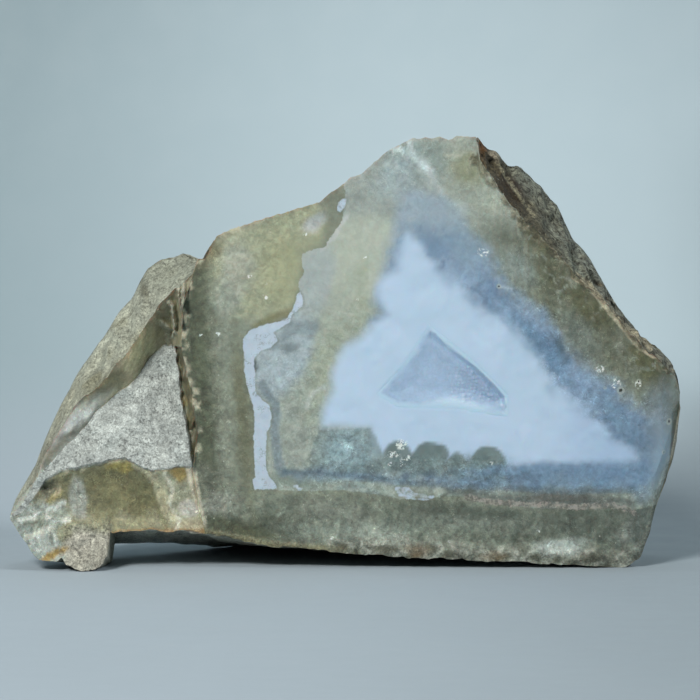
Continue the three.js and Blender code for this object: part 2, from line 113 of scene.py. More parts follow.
# the back's depth and the heights of the three lines of the underside
BACK_DEPTH = [
    [-56.1, 8], [-52, 17], [-46, 25], [-38, 32], [-28, 38.5], [-15, 44], [0, 47.5], [15, 47.5], [28, 43.5],
    [40, 36], [48, 28], [53, 19], [56.2, 10.5],
]
BACK_FOOT = [
    [-56.1, 8.8], [-52, 5.4], [-46, 3.4], [-38, 1.9], [-28, 1.1], [-15, 0.7], [-4, 0.3], [3, -0.5],
    [10, -0.5], [16, 0.2], [25, 1.8], [35, 4.4], [44, 8.6], [50, 14], [54, 20], [56.2, 27.6],
]
BACK_BELLY = [
    [-56.1, 8.5], [-52, 4.4], [-47, 2.6], [-39.2, 2.2], [-25, 1.5], [-10, 1.2], [8, 1.1], [20, 1.4],
    [30, 2.2], [40, 3.8], [47, 6.6], [51, 11.5], [54, 17.5], [56.2, 27.2],
]
FRONT_BELLY = [
    [-56.1, 8.3], [-54, 5.4], [-51, 2.2], [-47.2, 0.3], [-46, -0.5], [-41, -0.5], [-39.5, 0.3],
    [-39.2, 5.4], [-25, 4.8], [-21, 3.4], [-10, 2], [15, 1.4], [28, 1.2], [38, 1], [42.5, -0.2], [44, -0.7],
    [47.4, -0.4], [50, 3.6], [52, 9.2], [54, 14.6], [56.2, 26.8],
]
# [height, x] of the crack that parts the wing from the flat face
CRACK_PATH = [
    [6, -23.4], [10, -24.3], [16.7, -25.4], [23, -24.8], [30, -25.8], [36.7, -27.3], [44, -27],
    [51.6, -24.6],
]
CRACK_REACH = 4.5
# [height, x] of the right edge of the wing's bright plane; between it and the crack lie loose flakes
FACET_SIDE = [[17, -25.6], [21.7, -26.3], [26, -27.1], [30, -27.8], [35, -28.4], [37.8, -29.5]]
# flakes that stand in the recess beside the crack: x, height, half width, half length, lean, rise
FLAKES = [
    (-26.85, 43.2, 0.3, 5.2, -0.03, 3.2), (-27.6, 45.6, 0.22, 2.6, -0.1, 2.2),
    (-28.7, 42, 0.3, 3.0, -0.14, 2.2), (-30.0, 40.7, 0.4, 1.0, -0.8, 1.4),
    (-31.3, 43.6, 0.35, 0.6, -0.9, 1.0), (-29.0, 38.9, 0.3, 0.8, 0.3, 1.2),
    (-26.3, 34.8, 0.3, 1.5, -0.25, 1.3), (-25.7, 31.2, 0.33, 1.7, -0.5, 1.4),
    (-26.9, 32.6, 0.25, 1.2, 0.1, 1.1), (-25.6, 27.6, 0.25, 1.0, -0.3, 1.0),
    (-25.3, 24.2, 0.22, 0.9, 0.2, 0.9),
]

# broken faces of the back: azimuth, elevation, and reach from the body's middle
BODY_MIDDLE = (2, 18, 30)
BREAKS = [
    (4, 3, 25.5), (-46, 22, 25.5), (46, 20, 29.5), (8, 50, 26.5), (-40, -28, 35.5), (44, -30, 37),
    (-84, 30, 38),
]

# the hollow: its rim, the outline of its floor, and the part of it where the bluish crystals show
HOLLOW_RIM = [
    [5.8, 29.4], [8.8, 27.5], [18.4, 27.3], [26.9, 25.8], [26.9, 28.9], [21.9, 34], [14.2, 40.1],
    [9.6, 33.5],
]
HOLLOW_FLOOR = [
    [7.9, 29.7], [9.5, 28.7], [18.5, 28.6], [25.7, 27.4], [25.7, 28.7], [21.2, 33.1], [14.2, 38.6],
    [10.6, 33.1],
]
HOLLOW_MIDDLE = (17, 31)
HOLLOW_LINING = [
    [6.1, 29.5], [8.9, 27.9], [12.5, 27.8], [18.3, 28.8], [22.5, 27.6], [26.1, 26.1], [27, 27.1],
    [26.5, 29.1], [24.9, 31], [21.9, 33.8], [19, 35.9], [17.2, 37], [15.1, 39.5], [13.9, 40.1],
    [13, 38.9], [12.2, 36.8], [9.5, 33.5], [7.7, 31.5],
]
FLOOR_CORNER = (6.3, 29.5, 1.7)  # x, height and depth of the floor's shallow corner
FLOOR_FALL = (0.06, 0.07)  # how fast the floor deepens to the right and upward

RIM_STEP = 0.35  # how far the face drops at the rim, under the crust
EDGE_DIP = 0.08  # how far it has sunk before that drop

# how finely the skin is divided: x from, x to, steps; and rows between the front's lines, then the back
STATION_RUNS = [
    (LEFT_END, -41, 56), (-41, -39.2, 10), (-39.2, -28.5, 34), (-28.5, -24.1, 26), (-24.1, 50, 210),
    (50, RIGHT_END, 28),
]
FRONT_ROWS = (24, 52, 66, 24)
BACK_ROWS = 72
END_RINGS = 6
SHARP_ANGLE = 42  # degrees between two facets from which their shared edge stays sharp

# the skin's segments: the front's four bands between its lines, then the back
SCALLOP, FACET, FLAT, STRIP, BACK = range(5)

# the crust in the hollow: how finely it is divided, and how far its border tucks under the face
CRUST_COLUMNS, CRUST_ROWS = 230, 150
CRUST_TUCK = 0.7
CRUST_LEVEL = 0.03  # how deep its border lies under the face
CRUST_THICKNESS = 0.3  # behind the carving in the stone

HASH_PRIMES = (73856093, 19349663, 83492791)  # large primes that scatter the corners of a grid
HASH_TWIST = 1274126177
FULL_TURN = 6.28  # radians


# ------------------------------------------------------------------ small helpers

def along(line, x):
    """Straight between the points of a line of [x, value]."""
    points = np.asarray(line, float)
    return np.interp(x, points[:, 0], points[:, 1])


def smooth(low, high, value):
    """0 below low, 1 above high, and an S-curve between."""
    t = np.clip((value - low) / (high - low), 0, 1)
    return t * t * (3 - 2 * t)


def lumps(x, y, z, size):
    """Three crossed sine waves, each bent by another, between -1 and 1."""
    u, v, w = x / size, y / size, z / size
    a = np.sin(2.1 * u + 1.3 * np.sin(1.7 * w + 0.6) + 0.4)
    b = np.sin(1.9 * v + 1.5 * np.sin(1.4 * u + 2.1) + 1.9)
    c = np.sin(2.3 * w + 1.2 * np.sin(1.8 * v + 0.9) + 3.1)
    return (a + b + c) / 3


def crags(x, y, z, size):
    """The same lumps folded at zero, so that they crest sharply, between 0 and 1."""
    return 1 - np.abs(lumps(x, y, z, size))


def grit(x, y, z, size, octaves=3, seed=0):
    """Value noise: random numbers at the corners of cubes of this size, blended by S-curves, then finer
    and weaker layers added; between -1 and 1."""
    total, weight, swing = 0, 1, 0
    for layer in range(octaves):
        p = [np.asarray(c, float) / size * 2**layer + 17.3 * (layer + seed) for c in (x, y, z)]
        cell = [np.floor(c).astype(np.int64) for c in p]
        part = [c - k for c, k in zip(p, cell)]
        part = [t * t * (3 - 2 * t) for t in part]
        value = 0
        for corner in range(8):
            step = [corner & 1, corner >> 1 & 1, corner >> 2 & 1]
            key = sum((k + s) * prime for k, s, prime in zip(cell, step, HASH_PRIMES))
            key = (key ^ (key >> 13)) * HASH_TWIST & 0xFFFFFFFF
            share = math.prod(t if s else 1 - t for t, s in zip(part, step))
            value = value + share * (((key ^ (key >> 16)) & 0xFFFF) / 32767.5 - 1)
        total, swing, weight = total + weight * value, swing + weight, weight * 0.5
    return total / swing


def from_stretch(x, z, start, end):
    """Distance to a straight stretch: to the foot of the perpendicular, held between its two ends."""
    (ax, az), (bx, bz) = start, end
    t = np.clip(((x - ax) * (bx - ax) + (z - az) * (bz - az)) / ((bx - ax) ** 2 + (bz - az) ** 2), 0, 1)
    return np.hypot(x - ax - t * (bx - ax), z - az - t * (bz - az))


def beside(x, z, path):
    """Distance to an open path of straight stretches."""
    return np.min([from_stretch(x, z, a, b) for a, b in zip(path[:-1], path[1:])], axis=0)


def inside(x, z, outline):
    """Signed distance to a closed outline, positive inside: the nearest edge, signed by the even-odd rule."""
    nearest = beside(x, z, [*outline, outline[0]])
    odd = np.zeros(np.shape(x), bool)
    for (ax, az), (bx, bz) in zip(outline, [*outline[1:], outline[0]]):
        crosses = (az > z) != (bz > z)
        odd ^= crosses & (x < ax + (bx - ax) * (z - az) / (bz - az if bz != az else 1))
    return np.where(odd, nearest, -nearest)


def oval(x, z, middle_x, middle_z, half_long, half_wide, lean):
    """Nearly the signed distance to an oval whose long axis leans by so many degrees, positive inside."""
    a = math.radians(lean)
    u = ((x - middle_x) * math.cos(a) + (z - middle_z) * math.sin(a)) / half_long
    v = ((z - middle_z) * math.cos(a) - (x - middle_x) * math.sin(a)) / half_wide
    return (1 - np.hypot(u, v)) * half_wide


def dimple(x, z, cx, cz, rx, rz):
    """A round bump, 1 at its middle and falling away as a bell curve."""
    return np.exp(-(((x - cx) / rx) ** 2) - ((z - cz) / rz) ** 2)


def to_frame(x, depth, z):
    """Millimetres in the stone's own measure to metres in the model's frame."""
    return np.stack([x, depth - HALF_DEPTH, z], axis=-1) * MM


# ------------------------------------------------------------------ the stone's skin

def stations():
    """The x of every ring, closer together at the crack, the foot's wall and the ends."""
    runs = [np.linspace(a, b, steps, endpoint=False) for a, b, steps in STATION_RUNS]
    return np.append(np.concatenate(runs), RIGHT_END)


def floor_depth(x, z):
    """The hollow's floor: a plane that deepens to the right and upward."""
    cx, cz, depth = FLOOR_CORNER
    return depth + FLOOR_FALL[0] * (x - cx) + FLOOR_FALL[1] * (z - cz)


def end_fade(x, reach):
    """1 along the stone, falling evenly to 0 over this many millimetres at each end."""
    return np.clip((RIGHT_END - np.abs(x)) / reach, 0, 1)


def tremble(x, size, seed):
    """Value noise along the stone, faded out in the last millimetres at each end."""
    return grit(x, np.zeros_like(x), np.zeros_like(x), size, 3, seed) * end_fade(x, 4)


def front_lines(x):
    """Depth and height of the front's five lines at each x, from the lower edge up to the crest. Broken
    edges tremble by value noise, most on the wing and the rind."""
    wing, rind = x < CRACK_X, x > PEAK_X
    between = ~wing & ~rind
    skyline = along(SKYLINE, x) + np.where(wing, 0.4, np.where(rind, 0.5, 0.25)) * tremble(x, 1.3, 21)
    skyline = skyline + 0.2 * tremble(x, 0.6, 43)
    wing_ridge = along(WING_RIDGE, x) + 0.5 * tremble(x, 1.2, 22)
    rind_edge = along(RIND_EDGE, x) + 0.9 * tremble(x, 1.8, 23) + 0.5 * tremble(x, 0.7, 42)
    edge = np.where(wing, wing_ridge, np.where(rind, rind_edge, skyline))
    lower = along(LOWER_EDGE, x)
    lower = np.maximum(0, lower + 0.45 * tremble(x, 1.1, 24) * smooth(0.2, 1, lower))
    foot = smooth(-47.8, -46.8, x) * smooth(-39, -40, x)
    lower = lower + foot * (0.6 * np.abs(tremble(x, 0.9, 19)) + np.where(x < -43, 0.07, 0.13) * (x + 43) ** 2)
    ledge = along(LEDGE, x) + wing * 0.4 * tremble(x, 1.1, 25)
    valley = along(VALLEY, x) + wing * 0.4 * tremble(x, 1.6, 26)
    return [
        (along(LOWER_EDGE_DEPTH, x) + 0.3 * tremble(x, 1.2, 27), lower),
        (along(LEDGE_DEPTH, x) + wing * 0.3 * tremble(x, 1.0, 28), ledge),
        (along(VALLEY_DEPTH, x), valley),
        (along(FACE_EDGE_DEPTH, x) + (wing | rind) * 0.4 * tremble(x, 1.0, 29), edge),
        (along(CREST_DEPTH, x) + 0.5 * tremble(x, 1.4, 30), skyline - TOP_DROP * between),
    ]


def scallop_depth(x, z, lower, ledge):
    """The wing under its ledge: the foot and knob lean forward below the arch's height, and above it the
    surface runs up to the ledge and is hollowed by half a sine wave."""
    arch = along(ARCH_DEPTH, x)
    t_low = np.clip((z - lower[1]) / np.maximum(0.1, ARCH_HEIGHT - lower[1]), 0, 1)
    low = lower[0] + (arch - lower[0]) * t_low
    t_high = np.clip((z - ARCH_HEIGHT) / np.maximum(0.1, ledge[1] - ARCH_HEIGHT), 0, 1)
    deepest = 0.7 + 0.9 * smooth(-30, -32, x)
    high = arch + (ledge[0] - arch) * t_high + deepest * smooth(-53, -48, x) * np.sin(np.pi * t_high)
    return np.where(z < ARCH_HEIGHT, low, high)


def back_curve(x, crest, lower, t):
    """Smooth curve through eight points in depth and height, from the crest round to the lower front edge:
    between two points each coordinate is the Catmull-Rom cubic of the four points about it."""
    depth = along(BACK_DEPTH, x)
    foot = along(BACK_FOOT, x)
    top = np.mean([along(SKYLINE, x + step) for step in (-7, -3.5, 0, 3.5, 7)], axis=0)
    tall = top - foot
    knots_y = [crest[0], crest[0] + 0.42 * (depth - crest[0]), depth - 0.08 * (depth - crest[0]), depth,
               crest[0] + 0.88 * (depth - crest[0]), 0.56 * depth, 0.24 * depth, lower[0]]
    knots_z = [crest[1], 0.5 * (crest[1] + top) - 0.1 * tall, top - 0.34 * tall, top - 0.64 * tall, foot,
               along(BACK_BELLY, x), along(FRONT_BELLY, x), lower[1]]
    spans = len(knots_y) - 1
    k = np.minimum((t * spans).astype(int), spans - 1)
    s = t * spans - k

    def cubic(knots):
        """A smooth curve through all the knots, where each slope follows the two neighbouring knots."""
        knots = np.stack(np.broadcast_arrays(*knots))
        column = np.arange(knots.shape[1])
        p0, p1 = knots[np.maximum(k - 1, 0), column], knots[k, column]
        p2, p3 = knots[k + 1, column], knots[np.minimum(k + 2, spans), column]
        return 0.5 * (2 * p1 + (p2 - p0) * s + (2 * p0 - 5 * p1 + 4 * p2 - p3) * s**2
                      + (3 * p1 - p0 - 3 * p2 + p3) * s**3)

    return cubic(knots_y), cubic(knots_z)


def break_back(x, y, z, hold, rough):
    """Flattens the rounded back where it passes each break's plane, then roughens it outward with lumps,
    crags and grit."""
    for azimuth, elevation, reach in BREAKS:
        a, e = math.radians(azimuth), math.radians(elevation)
        facing = (math.sin(a) * math.cos(e), math.cos(a) * math.cos(e), math.sin(e))
        over = sum(f * (c - m) for f, c, m in zip(facing, (x, y, z), BODY_MIDDLE)) - reach
        push = np.maximum(over, 0) * hold
        x, y, z = x - facing[0] * push, y - facing[1] * push, z - facing[2] * push
    out = np.stack([x - BODY_MIDDLE[0], y - BODY_MIDDLE[1], z - BODY_MIDDLE[2]])
    out /= np.linalg.norm(out, axis=0)
    rise = 0.9 * lumps(x, y, z, 6.5) + 1.5 * (crags(x, y, z, 4.2) - 0.7)
    rise += 0.5 * grit(x, y, z, 3.2, 3, seed=1) + 0.25 * (crags(x, y, z, 1.3) - 0.7)
    return x + rough * rise * out[0], y + rough * rise * out[1], z + rough * rise * out[2]


def snap_to(x, z, outline, reach):
    """Moves points within reach of an outline onto it along the distance's slope, so its edge stays crisp."""
    step = 0.02
    d = inside(x, z, outline)
    slope_x = (inside(x + step, z, outline) - inside(x - step, z, outline)) / (2 * step)
    slope_z = (inside(x, z + step, outline) - inside(x, z - step, outline)) / (2 * step)
    pull = np.where(np.abs(d) < reach, -d, 0)
    return x + slope_x * pull, z + slope_z * pull


def stone_skin():
    """Rings of points side by side along x. Each ring climbs the front through its five lines, crosses the
    crest and comes back under the stone. Returns x, depth, height and each row's segment."""
    xs = stations()
    lines = front_lines(xs)
    rows = []
    for segment, count in enumerate(FRONT_ROWS):
        for t in np.arange(count) / count:
            (y0, z0), (y1, z1) = lines[segment], lines[segment + 1]
            x, y, z = xs.copy(), y0 + (y1 - y0) * t, z0 + (z1 - z0) * t
            if segment == SCALLOP:
                y = np.where(xs < CRACK_X, scallop_depth(xs, z, lines[0], lines[1]), y)
            x = x + np.exp(-(((xs - CRACK_X) / CRACK_REACH) ** 2)) * (along(CRACK_PATH, z) - CRACK_X)
            rows.append((*front_relief(x, y, z, xs < CRACK_X, segment, t), segment))
    fade = end_fade(xs, 6)
    for t in np.arange(BACK_ROWS) / BACK_ROWS:
        y, z = back_curve(xs, lines[4], lines[0], np.full(xs.shape, t))
        hold = min(1, 8 * t, 8 * (1 - t))
        x, y, z = break_back(xs.copy(), y, z, hold, hold * fade * (0.3 if t > 0.6 else 1))
        rows.append((x, y, np.maximum(z, 0), BACK))
    x, y, z = (np.stack([row[i] for row in rows], axis=1) for i in range(3))
    return x, y, z, np.array([row[3] for row in rows])


def flakes(x, z):
    """Thin flakes beside the crack: each is a bell curve across and a steeper one along its own lean."""
    total = np.zeros(np.shape(x))
    bend = 0.45 * grit(x, 0, z, 1.1, 2, 19)
    for cx, cz, half, length, lean, rise in FLAKES:
        across = (x + bend - cx - lean * (z - cz)) / (1.25 * half)
        total = np.maximum(total, rise * np.exp(-(across**2) - ((z - cz) / length) ** 6))
    return total


def past_facet(x, y, z):
    """How far a point lies to the right of the bright plane's side, which wanders with value noise."""
    return x - along(FACET_SIDE, z) + 0.5 * grit(x, y, z, 1.2, 2, 18)


def face_relief(x, y, z, wing, calm):
    """Below the outer strip: a knob, a crevice and lumps on the wing, and a slightly wavy face."""
    y = y - wing * 1.3 * dimple(x, z, -51.2, 6, 3, 3.4)
    y = y + wing * 1.2 * dimple(x, z, -49.6, 13.6, 1.9, 1)
    y = y + wing * 0.25 * lumps(x, 0, z, 2.2)
    return y + calm * (0.16 * grit(x, y, z, 3.5, 2, 32) + 0.05 * grit(x, y, z, 1.0, 2, 33)) * ~wing


def scallop_relief(x, y, z, wing, calm, bow):
    """Crags in the scallop, a gritty foot and knob, and lumps along the face's lower edge."""
    y = y - wing * 0.45 * bow * (crags(x, y, z, 2.8) - 0.6) * smooth(-46, -44, x)
    foot = wing * smooth(-47.8, -46.4, x) * smooth(-38.8, -39.6, x) * smooth(9, 6.5, z)
    knob = wing * smooth(-45.8, -47.6, x) * calm
    y = y - foot * (0.9 * grit(x, y, z, 1.9, 3, 34) + 0.3 * crags(x, y, z, 0.8))
    y = y - knob * (0.8 * grit(x, y, z, 2.6, 2, 35) + 0.7 * (crags(x, y, z, 1.9) - 0.6))
    crust = smooth(3.2, 0.8, z - along(LOWER_EDGE, x)) * ~wing * smooth(-10, 0, x) * calm
    return y - crust * 0.4 * (grit(x, y, z, 1.3, 3, 36) + 0.4)


def facet_relief(x, y, z, wing, bow):
    """The bright plane: grainy, and cut off towards the crack by a slot that the flakes stand in."""
    y = y - wing * bow**0.3 * (0.2 * grit(x, y, z, 1.8, 3, 37) + 0.05 * grit(x, y, z, 0.8, 2, 38))
    return y + wing * smooth(0, 0.5, past_facet(x, y, z)) * np.clip(1.7 - flakes(x, z), 0, 2)


def strip_relief(x, y, z, wing, rind, bow):
    """Ledges and crumbs on the wing's outer strip and the rind, and slanting blocks on the rind."""
    ledge = (crags(0.6 * x, y, z, 2) - 0.65) * (wing | rind)
    y, z = y - 1.5 * bow * ledge, z + 0.7 * bow * ledge
    crumbs = bow**0.5 * np.where(wing, 0.35, 1.0) * (wing | rind) * grit(x, y, z, 1.7, 3, 40)
    y, z = y - 0.8 * crumbs, z + 0.4 * crumbs
    blocks = rind * bow**0.4 * (crags(x + 0.6 * z, y, z - 0.6 * x, 2.4) - 0.65)
    return x + 0.6 * blocks, y - 1.3 * blocks, z


def front_relief(x, y, z, wing, segment, t):
    """The front's relief in one row, at a share t of its segment. It is calm at the stone's ends and round
    the hollow, and most of it is strongest midway between the segment's two lines."""
    bow = math.sin(math.pi * t)
    calm = smooth(0, 3, -LEFT_END - np.abs(x))
    if segment < STRIP:
        calm = calm * smooth(0.9, 3, -inside(x, z, HOLLOW_RIM))
        y = face_relief(x, y, z, wing, calm)
    if segment == SCALLOP:
        y = scallop_relief(x, y, z, wing, calm, bow)
    if segment == FACET:
        y = facet_relief(x, y, z, wing, bow)
    if segment == FLAT:
        y = y - wing * (bow**0.6 * flakes(x, z) + bow * 0.45 * grit(x, y, z, 2.0, 3, 39))
    if segment == STRIP:
        x, y, z = strip_relief(x, y, z, wing, x > PEAK_X, bow)
    return x, y, z


def carve_hollow(x, y, z):
    """Sinks the face inside the hollow's rim: a shallow slope under the crust's edge, a small step, then
    straight walls down to the outline of its floor."""
    x, z = snap_to(x, z, HOLLOW_RIM, 0.2)
    x, z = snap_to(x, z, HOLLOW_FLOOR, 0.2)
    to_rim = inside(x, z, HOLLOW_RIM)
    to_floor = inside(x, z, HOLLOW_FLOOR)
    share = np.where(to_floor >= 0, 1, np.clip(to_rim / np.maximum(1e-6, to_rim - to_floor), 0, 1))
    sunk = RIM_STEP + share * (floor_depth(x, z) - RIM_STEP)
    return x, y + np.where(to_rim > 0.05, sunk, EDGE_DIP * smooth(-0.5, -0.1, to_rim)), z


# ------------------------------------------------------------------ colour zones of the stone

# Outlines on the flat face, [x, height]
CORE = [
    [11.7, 55], [13.5, 53], [16, 50], [19, 47], [23, 44], [26, 42], [28.5, 40], [30.5, 38], [32, 36],
    [33.3, 33], [34.5, 31], [38.5, 28], [40, 26], [42, 24.2], [43.5, 22.4], [46, 21], [48, 19.8],
    [48.6, 18.6], [45, 17.9], [36, 17.6], [29, 17.7], [27, 18.5], [26, 19], [5, 19], [4, 23.5],
    [-3.8, 23.8], [-3.5, 27], [-2.2, 30], [-2, 34], [0, 37], [2.5, 38.7], [3.8, 40], [5, 41.5],
    [6.8, 42.5], [5.8, 45], [5.3, 47.5], [6.5, 49], [8.8, 50], [8.9, 52], [9.5, 54], [10.6, 56],
]
MIST = [
    [9.8, 62], [11, 63], [14.5, 62.5], [17, 60.5], [19.5, 57.5], [22, 54.5], [23.5, 52], [25, 49.5], [27, 47],
    [29.5, 44.5], [32.5, 43], [34.5, 40.5], [36.5, 37], [39, 35], [42, 32], [45, 30.5], [47.5, 27.5],
    [50.5, 25.5], [52.5, 23], [52.5, 19], [51, 15.5], [45, 15], [5, 20], [5, 44],
]
INNER = [
    [-0.5, 75], [0, 62], [-0.5, 58], [-2, 56], [-3.5, 53.8], [-7, 53], [-7.2, 51], [-6.8, 49.5], [-7.8, 48],
    [-7.5, 46], [-8.5, 43], [-9, 42.3], [-12, 41], [-15, 40.2], [-16.5, 39.7], [-17, 38.5], [-16.8, 36.5],
    [-17, 34], [-16, 30], [-16, 28.5], [-15, 27], [-14.7, 25], [-15, 22], [-15, 15.5], [-15.5, 14.8],
    [-15, 13.3], [-8, 13], [-1, 13.2], [5.5, 12.4], [9, 11.7], [14, 12], [20, 12.2], [25, 11], [31, 10.2],
    [36, 10], [42, 10.2], [45, 10.4], [47.5, 9.7], [60, 12], [60, 75],
]
BLUE_BAND = [
    [-11, 16.5], [-5, 16.8], [5, 16.5], [12, 15.8], [27, 17.3], [36, 17.8], [45, 17.6], [50.5, 18.5],
    [51.5, 16], [50, 13.4], [44, 13.2], [38, 13.4], [31, 13.4], [26, 13.6], [20, 13.6], [12, 14.3],
    [4, 14.6], [-2, 15], [-8, 15],
]
YELLOW_ZONE = [
    [-23, 52], [-20, 56], [-14, 58.5], [-5, 61.5], [-3, 57], [-4, 54.5], [-7, 53], [-7.2, 50], [-8, 46],
    [-8.5, 43.3], [-12, 41.5], [-16, 41], [-20, 42.5], [-21.5, 46],
]
MOTTLED_ZONE = [
    [-20, 54], [-17, 57], [-15, 56.5], [-14, 53], [-14.5, 49], [-17, 46.5], [-20.5, 46], [-20.5, 50],
]
# the crystal row's solid left part
ROW_LEFT = [
    [-6.3, 14.6], [-5.6, 20], [-4.6, 22.6], [-3.8, 23.5], [4.2, 23.4], [5.2, 22.2], [6.4, 19], [6.4, 14.4],
]
# [x, height, radius] of the crystal heads that stand up into the core
ROW_HEADS = [
    [8.8, 18.8, 2.5], [14, 18.3, 2.9], [16, 19.4, 1.4], [18.8, 17.5, 1.9], [23.9, 17.4, 3.1],
    [11.3, 17.4, 2],
]
# [x, height, half width, half height] of glittering spots, where painted highlights go
GLITTER = [
    [9.4, 20.9, 1.2, 0.9], [8, 19.2, 1.2, 0.5], [10.2, 18.6, 0.8, 0.5], [42.5, 33.5, 0.7, 0.6],
    [45.2, 31, 0.8, 0.9], [48.9, 30.9, 0.5, 0.7], [2, 44.9, 0.3, 0.25],
    [7.6, 17.6, 0.5, 0.35], [9.3, 17.6, 0.4, 0.4], [24.4, 17.6, 0.4, 0.3],
    [32.3, 6.2, 0.35, 0.3], [35.8, 6.2, 0.3, 0.25], [-21.2, 39.3, 0.5, 0.35], [-24, 39.2, 0.3, 0.25],
    [-15.9, 49, 0.4, 0.35], [-13.1, 45.5, 0.3, 0.5], [-13.2, 47.6, 0.3, 0.3], [-6.6, 56, 0.45, 0.3],
    [3.3, 52, 0.3, 0.35], [4.4, 50.8, 0.25, 0.2], [-4.5, 24.8, 0.25, 0.25], [-2.2, 5.1, 0.35, 0.25],
    [17.5, 4.6, 0.4, 0.25], [23, 52.9, 1.0, 0.6],
]
# [x, height, radius] of pinholes with pale rims
PINHOLES = [
    [46, 29.9, 0.3], [49, 31.4, 0.2], [25.6, 47.3, 0.2], [54.3, 24.5, 0.25], [53.4, 19.4, 0.2],
    [43.4, 30.3, 0.15],
]
WHITE_BAND = [
    [-7.5, 46.4], [-7, 45.3], [-7, 44], [-9, 42.3], [-9, 41.5], [-10.5, 40.5], [-12, 39.6], [-11.2, 38.2],
    [-12.5, 37], [-14, 36.5], [-15.1, 35.4], [-15.2, 34.3], [-15, 33], [-15, 31], [-14.8, 29.5], [-14, 28.5],
    [-12.7, 27.5], [-12.2, 25.5], [-12.5, 24], [-13, 23], [-13.2, 20], [-13.2, 17], [-12.7, 15.5],
    [-11.5, 14.1], [-11.2, 13.4], [-15.2, 13.3], [-15.5, 14.8], [-15, 15.3], [-15.3, 22], [-15.1, 24.5],
    [-15.2, 26.5], [-15.6, 28], [-16, 29.5], [-16.5, 31.5], [-16.8, 33], [-16.7, 35.5], [-17, 37],
    [-17, 38.5], [-16, 39.8], [-15.5, 40.2], [-13, 41], [-10, 41.6], [-9, 43], [-8.3, 44.5], [-8, 46],
]
PALE_FLECK = [[-1.4, 60], [-1.2, 61.2], [-0.4, 62], [0.2, 61.8], [0.1, 60.8], [-0.7, 59.5]]
FAINT_FLECKS = [
    [[-8.9, 14.1], [-7.9, 14], [-6.8, 13.4], [-7.6, 13], [-8.4, 13.4]],
    [[8.2, 13.7], [8.8, 12.5], [9.3, 12], [11.5, 11.5], [14.2, 11.5], [15.3, 12.2], [11.6, 12.7],
     [10.9, 13.8]],
]
PINK_SEAM = [
    [20.4, 12], [25, 11.1], [31, 10.8], [36, 10.7], [38.3, 10.3], [42, 10.5], [44.5, 10.6], [46.5, 10.2],
    [48.4, 9.3],
]

# Patches: colour, softness of the edge, strength, and either an outline or an oval as middle x, middle
# height, half length, half width and lean in degrees. First those of the inner zone:
# the grey-green and olive ones under the mist
UNDER_MIST_PATCHES = [
    # grey veil left of the crystal row
    ((118, 132, 122), 0.8, 0.7, (-7.5, 15, 5, 1.4, -5)),
    # white-grey cloud right of the white band
    ((158, 174, 180), 0.9, 0.9, (-10.5, 36, 8, 4.5, 65)),
    # dusky streaks in that cloud's top
    ((122, 138, 142), 0.7, 0.8, [[-9.6, 41.4], [-7.4, 41.6], [-5, 41.9], [-4.2, 40.6], [-5.4, 38.6],
        [-8, 39.2], [-10.2, 37.6], [-12.6, 36.6], [-12, 38.4], [-10.4, 39.8]]),
    # dusky spots below them
    ((104, 120, 124), 0.4, 0.75, (-9.2, 37, 1.6, 0.8, 10)),
    # lilac-white cloud beside the yellow zone
    ((157, 169, 168), 1, 0.9, (-5, 48.5, 6.5, 3, 80)),
    # olive patch beside the core, upper
    ((148, 160, 146), 1, 0.85, (3.5, 41.5, 4.5, 1.8, 50)),
    # olive patch beside the core, middle
    ((150, 160, 142), 1, 0.8, (-3, 33.5, 3.5, 1.6, 60)),
    # olive fringe of the core's tip
    ((166, 176, 160), 1, 0.7, (7.5, 50, 4, 1.6, 80)),
    # pale strip right of the blue seam
    ((141, 150, 142), 0.9, 0.7, (-8.5, 23, 6, 2, 90)),
    # blue-grey veil at the apex
    ((153, 170, 172), 1.5, 0.8, (8.5, 66, 4.5, 2.4, 50)),
    # soft pale streak under the apex
    ((178, 190, 190), 0.8, 0.7, [[12.2, 68.8], [13.5, 68.4], [15.2, 65.7], [16.8, 63.4],
        [16.2, 62.7], [14.2, 64.4], [12.5, 66.7]]),
    # second pale streak
    ((166, 182, 186), 1, 0.6, (17.6, 61, 3, 0.8, -25)),
    # yellow patch by the rind's top
    ((134, 140, 112), 1.2, 0.9, (20.9, 66.8, 3, 2.4, -40)),
    # pale shoulder below the yellow patch
    ((160, 170, 156), 1.6, 0.6, (25, 61, 3.5, 1.8, -50)),
    # olive band along the rind
    ((98, 104, 86), 1.4, 0.85, (40, 42, 20.5, 4, -45)),
    # grey cloud above that band
    ((128, 142, 138), 1.2, 0.75, (29, 50.5, 3.5, 1.8, -50)),
    # dark olive patch, first
    ((88, 91, 68), 0.8, 0.9, (32, 55, 4, 1.6, -50)),
    # dark olive patch, second
    ((86, 90, 70), 1.2, 0.85, (35.5, 49, 4.5, 2.2, -55)),
    # dark olive patch, third
    ((84, 87, 64), 0.9, 0.95, (41, 43.5, 5, 2, -50)),
    # grey-green cloud between the patches
    ((98, 110, 105), 1.5, 0.7, (39, 39, 4.5, 2, -50)),
    # brown patch
    ((92, 98, 84), 1.2, 0.7, (45, 37.5, 4, 2.4, -40)),
    # dark olive patch, fourth
    ((84, 87, 62), 1, 0.95, (51, 34, 5, 2.6, -45)),
    # tip of the blue mist
    ((154, 168, 174), 2.2, 0.75, (12.5, 59.5, 5.5, 2.4, -75)),
    # olive spot in the right crystal head
    ((128, 138, 122), 1, 0.6, (24.3, 17.7, 1.8, 1.6, -75)),
]
